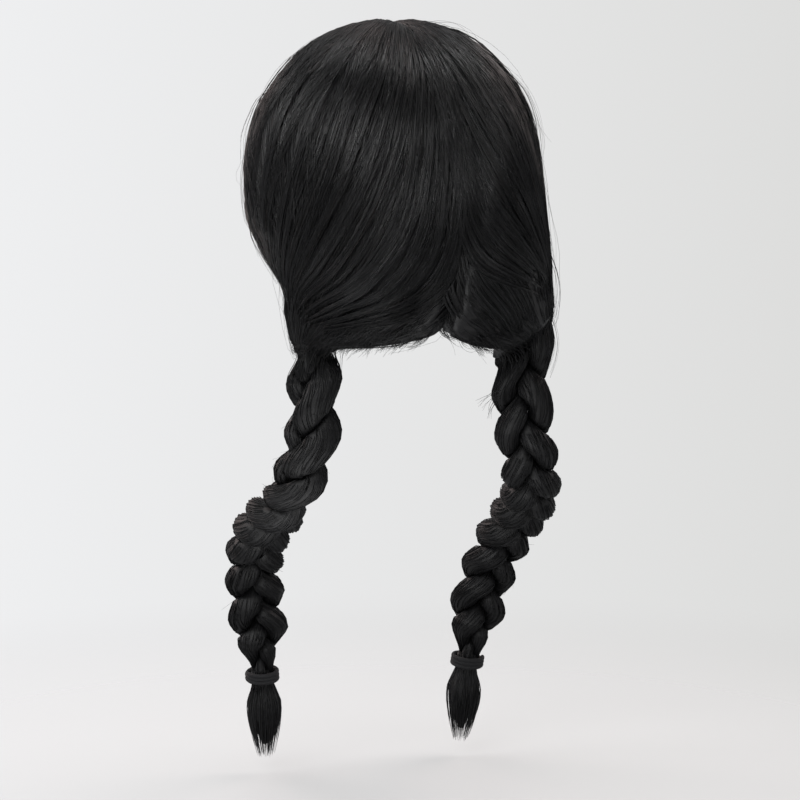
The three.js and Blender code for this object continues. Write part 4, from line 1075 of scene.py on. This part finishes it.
def capped_tube(name, rings, side, width, lengthwise=False):
    """Closed tube from rings of points, with a fan of triangles to a middle point at each end. Its map runs
    round the tube first, as wide as given, and then along it, or the other way about where lengthwise."""
    stations, sides = rings.shape[:2]
    points = np.concatenate([rings.reshape(-1, 3), rings[0].mean(0)[None], rings[-1].mean(0)[None]])
    a = np.arange(sides)
    after = (a + 1) % sides
    ring = np.arange(stations - 1)[:, None] * sides
    foot = (stations - 1) * sides
    faces = [
        np.stack([ring + a, ring + after, ring + sides + after, ring + sides + a], -1).reshape(-1, 4),
        np.stack([np.full(sides, stations * sides), after, a], 1),
        np.stack([np.full(sides, stations * sides + 1), foot + a, foot + after], 1),
    ]
    around = np.concatenate([np.tile(a / sides, stations), [0.5, 0.5]])
    along_it = np.concatenate([np.repeat(np.linspace(0, 1, stations), sides), [0, 1]])
    uv = round_map(around, along_it, faces, width)
    return closed_piece(name, mirrored(points, side), faces, uv[:, ::-1] if lengthwise else uv)


def braid_fibre_finish(name, dark, light, roughness):
    """Fibre of a braid's core: streaks along the strand in tone and height."""
    material, node, join = finish_nodes(name, roughness, 0.42)
    place = node("ShaderNodeUVMap", [("uv_map", "OFBake")]).outputs[0]
    streak_place = node("ShaderNodeMapping", i0=place, Scale=(150, 14, 1)).outputs[0]
    streak = node("ShaderNodeTexNoise", Vector=streak_place, Scale=1.0, Detail=3.0, Roughness=0.6).outputs[0]
    level = node("ShaderNodeMapRange", i0=streak, i1=0.35, i2=0.75).outputs[0]
    join(node("ShaderNodeMix", [("data_type", "RGBA")], i0=level, i6=dark, i7=light).outputs[2], "Base Color")
    dull, bright = roughness + 0.1, roughness - 0.06
    join(node("ShaderNodeMapRange", i0=level, i3=dull, i4=bright).outputs[0], "Roughness")
    join(node("ShaderNodeBump", Strength=0.5, Distance=0.0004, Height=streak).outputs[0], "Normal")
    return material


def gather_strands(half, side, rng):
    """Paths that carry the hair over the gather on to the strands of the braid. Each is the cubic with its
    place and slope given at both ends, from the outer or inner sheet to the outside of a strand, and then
    runs along that strand and down into it."""
    tries = TOP_TRIES * TOP_STRANDS
    l = rng.uniform(*TOP_MEETS, tries)
    angle = rng.uniform(0, 2 * np.pi, tries)
    k = np.arange(tries) % 3
    share = np.linspace(0, 1, TOP_RUN)[None, :]
    ahead = l[:, None] + rng.uniform(*TOP_FOLLOWS, tries)[:, None] * share
    sink = 0.0003 - 0.0011 * share
    on_strand = np.zeros((tries, TOP_RUN, 3))
    core = np.zeros((tries, 3))
    for j in range(3):
        mine = k == j
        level = 0 * ahead[mine]
        on_strand[mine] = strand_surface(side, j, ahead[mine], angle[mine][:, None] + level, sink + level)
        across = strand_surface(side, j, l[mine], angle[mine] + np.pi, np.zeros(mine.sum()))
        core[mine] = (on_strand[mine, 0] + across) / 2
    line, length = braid_middle(side)
    middle = at_length(line, length, l)
    end = on_strand[:, 0]
    out, mid = end - core, end - middle
    facing = np.einsum("ij,ij->i", out, mid) / np.linalg.norm(out, axis=1) / np.linalg.norm(mid, axis=1)
    around = np.degrees(np.arctan2(mid[:, 1] / GATHER_DEEP, mid[:, 0] / GATHER_WIDE))
    around = np.where(around < RIM_OUTER[0] - 5, around + 360, around)
    outer = around < RIM_OUTER[0] + RIM_OUTER[1]
    s = np.where(outer, (around - RIM_OUTER[0]) / RIM_OUTER[1], (around - RIM_INNER[0]) / RIM_INNER[1])
    s = np.clip(s + rng.normal(0, 0.02, tries), 0.01, 0.99)
    t = rng.uniform(*TOP_FROM, tries)

    def on_hair(t):
        high = on_sheet(half["outer"], half, s, t) + 0.0002 * on_sheet(half["normal"], half, s, t)
        return np.where(outer[:, None], high, on_sheet(half["inner"], half, s, t))

    start = on_hair(t)
    chord = np.linalg.norm(end - start, axis=1)[:, None]
    first = on_hair(t + 0.01) - start
    first *= 0.6 * chord / np.linalg.norm(first, axis=1, keepdims=True)
    last = on_strand[:, 1] - on_strand[:, 0]
    last *= 0.8 * chord / np.linalg.norm(last, axis=1, keepdims=True)
    u = np.linspace(0, 1, TOP_STATIONS - TOP_RUN + 1)[None, :, None]
    bow = (2 * u**3 - 3 * u**2 + 1) * start[:, None] + (u**3 - 2 * u**2 + u) * first[:, None]
    bow = bow + (3 * u**2 - 2 * u**3) * end[:, None] + (u**3 - u**2) * last[:, None]
    centre = np.array([GATHER_OUT + side["sway"], GATHER_BACK])
    bow[..., :2] += (centre - bow[..., :2]) * side["pinch"] * np.sin(np.pi * u) ** 2
    path = np.concatenate([bow[:, :-1], on_strand], 1)
    path[:, 0] -= TOP_SINK * on_sheet(half["normal"], half, s, t) * np.where(outer, 1, -1)[:, None]
    return path[(facing > TOP_FACING) & (chord[:, 0] < TOP_LONGEST)][:TOP_STRANDS]


braid_fibre = braid_fibre_finish("braid_core_fibre", BULK_DARK, BULK_LIGHT, 0.5)
plaited_fibre = strand_finish("plaited_strand_fibre", STRAND_DARK, STRAND_LIGHT, STRAND_WARM, 0.4, 0.32)
for word, side in SIDES.items():
    whole = braid_middle(side)[1][-1]
    rng = np.random.default_rng(side["seed"] + 200)
    for k, letter in enumerate("abc"):
        l = np.linspace(-TOP_HIDDEN, whole, BRAID_STATIONS)[:, None] + np.zeros((1, BRAID_SIDES))
        angle = 0 * l + np.arange(BRAID_SIDES) * 2 * np.pi / BRAID_SIDES
        core = strand_surface(side, k, l, angle, -CORE_SINK)
        strand = capped_tube(f"braid_{word}_core_{letter}", core, side, 0.97)
        strand.data.materials.append(braid_fibre)
        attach(strand, "root")
        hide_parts(f"braid_{word}_strand_{letter}")

        l = np.linspace(-TOP_HIDDEN, whole, FIBRE_STATIONS)[None, :] + np.zeros((BRAID_FIBRES, 1))
        spot = np.arange(BRAID_FIBRES) + rng.uniform(0, 1, BRAID_FIBRES)
        start = spot[:, None] * 2 * np.pi / BRAID_FIBRES
        wave = l * rng.uniform(60, 160, BRAID_FIBRES)[:, None]
        wave = wave + rng.uniform(*ANY_ANGLE, BRAID_FIBRES)[:, None]
        angle = start + 2 * np.pi * FIBRE_TWIST * l / whole + 0.12 * np.sin(wave)
        proud = rng.uniform(-FIBRE_PROUD, FIBRE_PROUD, BRAID_FIBRES)[:, None] + 0 * l
        path = strand_surface(side, k, l, angle, proud)
        radius = FIBRE_RADIUS * rng.uniform(0.6, 1.3, BRAID_FIBRES)[:, None] + 0 * l
        tone = rng.beta(*FIBRE_TONE, BRAID_FIBRES)
        fibres = tubes(f"braid_{word}_fibres_{letter}", path, radius, tone, side)
        fibres.data.materials.append(plaited_fibre)
        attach(fibres, "root")

    path = gather_strands(halves[word], side, rng)
    ends = 1 - 0.5 * np.abs(np.linspace(-1, 1, TOP_STATIONS)) ** 3
    radius = TOP_RADIUS * rng.uniform(*THICKNESS, len(path))[:, None] * ends[None, :]
    tops = tubes(f"braid_{word}_gathered_strands", path, radius, rng.beta(*FIBRE_TONE, len(path)), side)
    tops.data.materials.append(plaited_fibre)
    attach(tops, "root")

# Elastic ties
# A thin black hair elastic is wound nearly three times round the end of each braid. It is a covered rubber
# cord, and its turns lie close beside one another.
TIE_RADIUS, TIE_TURNS = 0.0089, 3
TIE_OPEN = 0.25  # share of a turn that the cord stops short, where its end is tucked in
TIE_FLAT = 0.85  # depth of the pressed cord as a share of its height
TIE_STATIONS, TIE_SIDES = 190, 12
TIE_DARK, TIE_LIGHT = (0.004, 0.004, 0.0045, 1), (0.018, 0.018, 0.02, 1)

elastic, node, join = finish_nodes("covered_elastic", 0.6, 0.35)
place = node("ShaderNodeUVMap", [("uv_map", "OFBake")]).outputs[0]
plait = node("ShaderNodeMapping", i0=place, Rotation=(0, 0, 0.6), Scale=(220, 14, 1)).outputs[0]
bands = node("ShaderNodeTexWave", [("wave_type", "BANDS")], Vector=plait, Scale=1.0, Distortion=1.2)
bands.inputs["Detail"].default_value = 1.0
ribs = bands.outputs["Fac"]
tint = node("ShaderNodeMix", [("data_type", "RGBA")], i0=ribs, i6=TIE_DARK, i7=TIE_LIGHT).outputs[2]
join(tint, "Base Color")
join(node("ShaderNodeBump", Strength=0.5, Distance=0.0003, Height=ribs).outputs[0], "Normal")


def wound_cord(side):
    """Rings of a cord wound round the braid's end: the path's angle grows evenly while its level falls by
    about one cord's width a turn, and its section is an oval that closes at both ends."""
    p, down, wide, deep, _ = braid_frame(side, np.array([braid_middle(side)[1][-1]]))
    pitch = TIE_HEIGHT / TIE_TURNS
    cord = pitch / 2
    a = np.linspace(0, 2 * np.pi * (TIE_TURNS - TIE_OPEN), TIE_STATIONS)
    level = TIE_HEIGHT / 2 - cord - pitch * a / (2 * np.pi) * (TIE_TURNS - 1) / (TIE_TURNS - TIE_OPEN)
    out = wide * np.cos(a)[:, None] + deep * np.sin(a)[:, None]
    path = p + out * (TIE_RADIUS + cord * TIE_FLAT) - down * level[:, None]
    close = np.sqrt(np.clip(1 - (np.abs(np.linspace(-1, 1, TIE_STATIONS)) ** 60), 0, 1))
    b = np.arange(TIE_SIDES) * 2 * np.pi / TIE_SIDES
    section = out[:, None] * np.cos(b)[None, :, None] * TIE_FLAT - down * np.sin(b)[None, :, None]
    return path[:, None] + section * (cord * 0.98 * close)[:, None, None]


for word, side in SIDES.items():
    tie = capped_tube(f"tie_{word}_cord", wound_cord(side), side, 0.9, lengthwise=True)
    tie.data.materials.append(elastic)
    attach(tie, "root")
    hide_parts(f"tie_{word}")

# Tufts
# Below each tie the fibres come loose, swell a little and taper to a soft brush of uneven ends.
TAIL_LENGTH, TAIL_RADIUS, TAIL_TOP = 0.058, 0.0125, 0.0076
TAIL_TURN = 0.14  # share of its length after which a tail leaves the braid's way for a steeper fall
TAIL_FLAT = 0.86  # depth of a tail as a share of its width
TAIL_LOCKS = 4
TUFT_STRANDS, TUFT_STATIONS, TUFT_RADIUS, TUFT_TONE = 300, 11, 0.0003, (1.2, 2.4)
TUFT_CORE_STATIONS, TUFT_CORE_SIDES = 26, 32


def tuft_points(side, share, angle, depth, tip=1.05):
    """Points of the tuft at a share of its length, an angle round it and a depth from its middle (0) to its
    skin (1). Its radius grows from the narrow top and then tapers, and four shallow valleys part its locks."""
    p, down, wide, deep, _ = braid_frame(side, np.array([braid_middle(side)[1][-1]]))
    fall = down * 0.5 + np.array([0, 0, -0.5])
    fall /= np.linalg.norm(fall)
    swell = TAIL_TOP + (TAIL_RADIUS - TAIL_TOP) * smooth(0.08, 0.36, share)
    valley = 0.13 * smooth(0.12, 0.3, share) * np.exp(-((np.sin(angle * TAIL_LOCKS / 2) / 0.35) ** 2))
    r = swell * (1 - 0.72 * smooth(0.4, tip, share)) * depth * (1 - valley)
    centre = p + down * (PIECE_GAP + np.minimum(share, TAIL_TURN) * TAIL_LENGTH)[..., None]
    centre = centre + fall * (np.maximum(0, share - TAIL_TURN) * TAIL_LENGTH)[..., None]
    return centre + wide * (r * np.cos(angle))[..., None] + deep * (TAIL_FLAT * r * np.sin(angle))[..., None]


for word, side in SIDES.items():
    rng = np.random.default_rng(side["seed"] + 300)
    share = np.linspace(-0.08, 0.84, TUFT_CORE_STATIONS)[:, None] + np.zeros(TUFT_CORE_SIDES)[None, :]
    angle = np.zeros_like(share) + np.arange(TUFT_CORE_SIDES)[None, :] * 2 * np.pi / TUFT_CORE_SIDES
    core = tuft_points(side, share, angle, 0.86 - 0.5 * smooth(0.5, 0.9, share))
    tuft = capped_tube(f"tuft_{word}_core", core, side, 0.96)
    tuft.data.materials.append(braid_fibre)
    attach(tuft, "root")
    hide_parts(f"tuft_{word}")

    tips = rng.uniform(0.62, 1.0, TUFT_STRANDS) ** 0.7
    share = np.linspace(-0.1, 1, TUFT_STATIONS)[None, :] * tips[:, None]
    angle = rng.uniform(0, 2 * np.pi, TUFT_STRANDS)[:, None]
    angle = angle + 0.35 * rng.normal(0, 1, TUFT_STRANDS)[:, None] * share
    depth = np.sqrt(rng.uniform(0.35, 1.0, TUFT_STRANDS))[:, None]
    depth = depth * (1 + 0.08 * rng.normal(0, 1, TUFT_STRANDS)[:, None] * smooth(0.5, 1, share))
    path = tuft_points(side, share, angle, depth, tip=1.25)
    taper = 1 - 0.75 * smooth(0.6, 1, share / tips[:, None])
    radius = TUFT_RADIUS * rng.uniform(0.6, 1.2, TUFT_STRANDS)[:, None] * taper
    brush = tubes(f"tuft_{word}_strands", path, radius, rng.beta(*TUFT_TONE, TUFT_STRANDS), side)
    brush.data.materials.append(strand_fibre)
    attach(brush, "root")

# Loose ends
# Single hairs stand off the combed surface all round, where they slipped out of their locks. They are the
# same fibre, only thinner, and spring from the hair under them.
LOOSE_HAIRS, LOOSE_STATIONS, LOOSE_RADIUS = 260, 12, 0.00011
LOOSE_FROM, LOOSE_REACH = (0.05, 0.85), (0.12, 0.5)  # shares of the way down where they start, and they run
BOWED_SHARE = 0.6  # share of the loose hairs that bow away from the surface between their ends
LOOSE_BOW, LOOSE_LIFT = (1.6, 0.0013), (1.4, 0.0018)  # shape and scale of the draws for the bow and the tips
LOOSE_TONE, LOOSE_THICKNESS = (1.2, 2.0), (0.7, 1.3)
LOOSE_SINK = 0.0004  # how far their roots lie in the surface
BRAID_FUZZ, FUZZ_STATIONS, FUZZ_LENGTH = 110, 7, 0.009
FUZZ_SINK, FUZZ_RISE = 0.0005, (1.8, 0.0016)  # how far its roots lie in a strand, and the draw for its tips

for word, side in SIDES.items():
    half = halves[word]
    rng = np.random.default_rng(side["seed"] + 400)
    t0 = rng.uniform(*LOOSE_FROM, LOOSE_HAIRS)[:, None]
    reach = rng.uniform(*LOOSE_REACH, LOOSE_HAIRS)[:, None]
    share = np.linspace(0, 1, LOOSE_STATIONS)[None, :]
    t = np.minimum(t0 + reach * share, 1.02)
    s = rng.uniform(0, 1, LOOSE_HAIRS)[:, None] + 0.06 * rng.normal(0, 1, LOOSE_HAIRS)[:, None] * share**1.5
    bow = rng.gamma(*LOOSE_BOW, LOOSE_HAIRS) * (rng.random(LOOSE_HAIRS) < BOWED_SHARE)
    height = bow[:, None] * np.sin(np.pi * share) + rng.gamma(*LOOSE_LIFT, LOOSE_HAIRS)[:, None] * share**2
    normal = on_sheet(half["normal"], half, s, t)
    path = on_sheet(half["outer"], half, s, t) + normal * (height - LOOSE_SINK)[..., None]
    radius = LOOSE_RADIUS * rng.uniform(*LOOSE_THICKNESS, LOOSE_HAIRS)[:, None] * (1 - 0.6 * share)
    loose = tubes(f"hair_{word}_loose", path, radius, rng.beta(*LOOSE_TONE, LOOSE_HAIRS), side)
    loose.data.materials.append(strand_fibre)
    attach(loose, "root")

    whole = braid_middle(side)[1][-1]
    share = np.linspace(0, 1, FUZZ_STATIONS)[None, :]
    l = rng.uniform(0.01, whole - 0.03, BRAID_FUZZ)[:, None]
    l = l + FUZZ_LENGTH * rng.uniform(0.3, 1.4, BRAID_FUZZ)[:, None] * share
    angle = rng.uniform(0, 2 * np.pi, BRAID_FUZZ)[:, None] + rng.normal(0, 0.5, BRAID_FUZZ)[:, None] * share
    proud = -FUZZ_SINK + rng.gamma(*FUZZ_RISE, BRAID_FUZZ)[:, None] * share**1.3
    path = np.concatenate([strand_surface(side, k, l[k::3], angle[k::3], proud[k::3]) for k in range(3)])
    radius = LOOSE_RADIUS * rng.uniform(*LOOSE_THICKNESS, BRAID_FUZZ)[:, None] * (1 - 0.6 * share)
    fuzz = tubes(f"braid_{word}_fuzz", path, radius, rng.beta(*LOOSE_TONE, BRAID_FUZZ), side)
    fuzz.data.materials.append(strand_fibre)
    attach(fuzz, "root")

# Studio
# A pale paper floor just under the wig fades into the pale surroundings. Soft panels light the hair from
# above and from the sides, with small cards below its edge. The camera stands behind, a little to the
# wearer's left and a little above the middle of the head.
FLOOR_GAP = 0.012
FLOOR_REACH, FLOOR_SIDES = 40.0, 96
FLOOR_NEAR, FLOOR_FAR = 0.25, 0.9  # from the middle of the floor, where its fading starts and ends
PAPER = (0.56, 0.562, 0.566, 1)
SURROUND = (0.80, 0.805, 0.82, 1)
WALL_BRIGHT, WALL_DIM = (0.86, 0.865, 0.875, 1), (0.70, 0.70, 0.69, 1)
WALL_TURN = 250  # degrees round to the side where the wall behind dims
DIM_SPAN = -0.15, 0.2  # how far a direction points to that side, where the dimming starts and ends
SURROUND_SHINE = 0.37  # what gloss sees of the surroundings
PICTURE_SIDE = 800  # in steps of the picture

floor_level = cad_low[2] - FLOOR_GAP
a = np.arange(FLOOR_SIDES) * 2 * np.pi / FLOOR_SIDES
disc = np.stack([FLOOR_REACH * np.cos(a), FLOOR_REACH * np.sin(a), 0 * a + floor_level], -1)
floor_mesh = bpy.data.meshes.new("floor")
floor_mesh.from_pydata(disc.tolist(), [], [list(range(FLOOR_SIDES))])
floor = bpy.data.objects.new("floor", floor_mesh)
bpy.context.scene.collection.objects.link(floor)
paper, node, _ = finish_nodes("pale_paper", 0.9, 0.1)
tree = paper.node_tree
matt = tree.nodes["Principled BSDF"]
matt.inputs["Base Color"].default_value = PAPER
here = node("ShaderNodeTexCoord").outputs["Object"]
away = node("ShaderNodeVectorMath", [("operation", "LENGTH")], i0=here).outputs["Value"]
eased = [("interpolation_type", "SMOOTHSTEP")]
fade = node("ShaderNodeMapRange", eased, i0=away, i1=FLOOR_NEAR, i2=FLOOR_FAR).outputs[0]
clear = node("ShaderNodeBsdfTransparent").outputs[0]
blend = node("ShaderNodeMixShader", i0=fade, i1=matt.outputs[0], i2=clear).outputs[0]
tree.links.new(blend, tree.nodes["Material Output"].inputs[0])
floor.data.materials.append(paper)
floor.visible_glossy = False

world = bpy.data.worlds.new("studio")
bpy.context.scene.world = world
world.use_nodes = True
tree = world.node_tree
node = node_adder(tree)
way = node("ShaderNodeTexCoord").outputs["Generated"]
dim_way = (np.sin(np.radians(WALL_TURN)), -np.cos(np.radians(WALL_TURN)), 0)
to_dim = node("ShaderNodeVectorMath", [("operation", "DOT_PRODUCT")], i0=way, i1=dim_way).outputs["Value"]
dimmed = node("ShaderNodeMapRange", i0=to_dim, i1=DIM_SPAN[0], i2=DIM_SPAN[1]).outputs[0]
wall = node("ShaderNodeMix", [("data_type", "RGBA")], i0=dimmed, i6=WALL_BRIGHT, i7=WALL_DIM).outputs[2]
seen = node("ShaderNodeBackground", i0=wall, i1=1.0).outputs[0]
lit = tree.nodes["Background"]
lit.inputs[0].default_value, lit.inputs[1].default_value = SURROUND, SURROUND_SHINE
ray = node("ShaderNodeLightPath").outputs
direct = [("operation", "MAXIMUM")]
either = node("ShaderNodeMath", direct, i0=ray["Is Camera Ray"], i1=ray["Is Diffuse Ray"]).outputs[0]
choice = node("ShaderNodeMixShader", i0=either, i1=lit.outputs[0], i2=seen).outputs[0]
tree.links.new(choice, tree.nodes["World Output"].inputs[0])


def soft_panel(name, azimuth, elevation, away, wide, high, power, colour=(1, 1, 1), aim=(0, 0, -0.12)):
    """Area light that faces its aim from an azimuth and elevation in degrees, measured as the view's are."""
    a, e = np.radians(azimuth), np.radians(elevation)
    way = np.array([np.sin(a) * np.cos(e), -np.cos(a) * np.cos(e), np.sin(e)])
    light = bpy.data.lights.new(name, "AREA")
    light.shape, light.size, light.size_y = "RECTANGLE", wide, high
    light.energy, light.color = power, colour
    panel = bpy.data.objects.new(name, light)
    panel.location = Vector(aim) + Vector(way * away)
    panel.rotation_euler = Vector(way).to_track_quat("Z", "Y").to_euler()
    panel.visible_camera = False
    bpy.context.scene.collection.objects.link(panel)


soft_panel("panel_over", VIEW_TURN + 180, 86, 2.4, 2.6, 0.62, 22.5)
soft_panel("panel_behind", VIEW_TURN - 22, 34, 2.4, 1.6, 0.42, 17)
soft_panel("panel_right", VIEW_TURN + 118, 50, 2.4, 1.4, 0.9, 18, (1, 0.84, 0.81))
soft_panel("panel_left", VIEW_TURN - 95, 35, 2.4, 1.2, 0.8, 4)
soft_panel("panel_side", VIEW_TURN - 72, 27, 2.4, 1.2, 0.5, 10)
soft_panel("panel_rim", VIEW_TURN - 130, 25, 2.4, 1.6, 1.6, 17, (1, 0.8, 0.76))
soft_panel("card_below", VIEW_TURN, -35, 0.5, 0.5, 0.12, 0.36)
soft_panel("card_under_edge", VIEW_TURN - 15, -62, 0.15, 0.2, 0.08, 0.07, aim=(0.035, 0.06, -0.2))

lens = bpy.data.cameras.new("camera")
lens.sensor_width = 36
lens.lens = VIEW_AWAY / VIEW_STEP / PICTURE_SIDE * lens.sensor_width
camera = bpy.data.objects.new("camera", lens)
offset = (np.array(VIEW_MIDDLE) - PICTURE_SIDE / 2) * VIEW_STEP
camera.location = Vector(HEAD_MIDDLE - RIGHTWARDS * offset[0] + UPWARDS * offset[1] + BACKWARDS * VIEW_AWAY)
camera.rotation_euler = Vector(BACKWARDS).to_track_quat("Z", "Y").to_euler()
bpy.context.scene.collection.objects.link(camera)
bpy.context.scene.camera = camera
bpy.context.scene.view_settings.view_transform = "Standard"
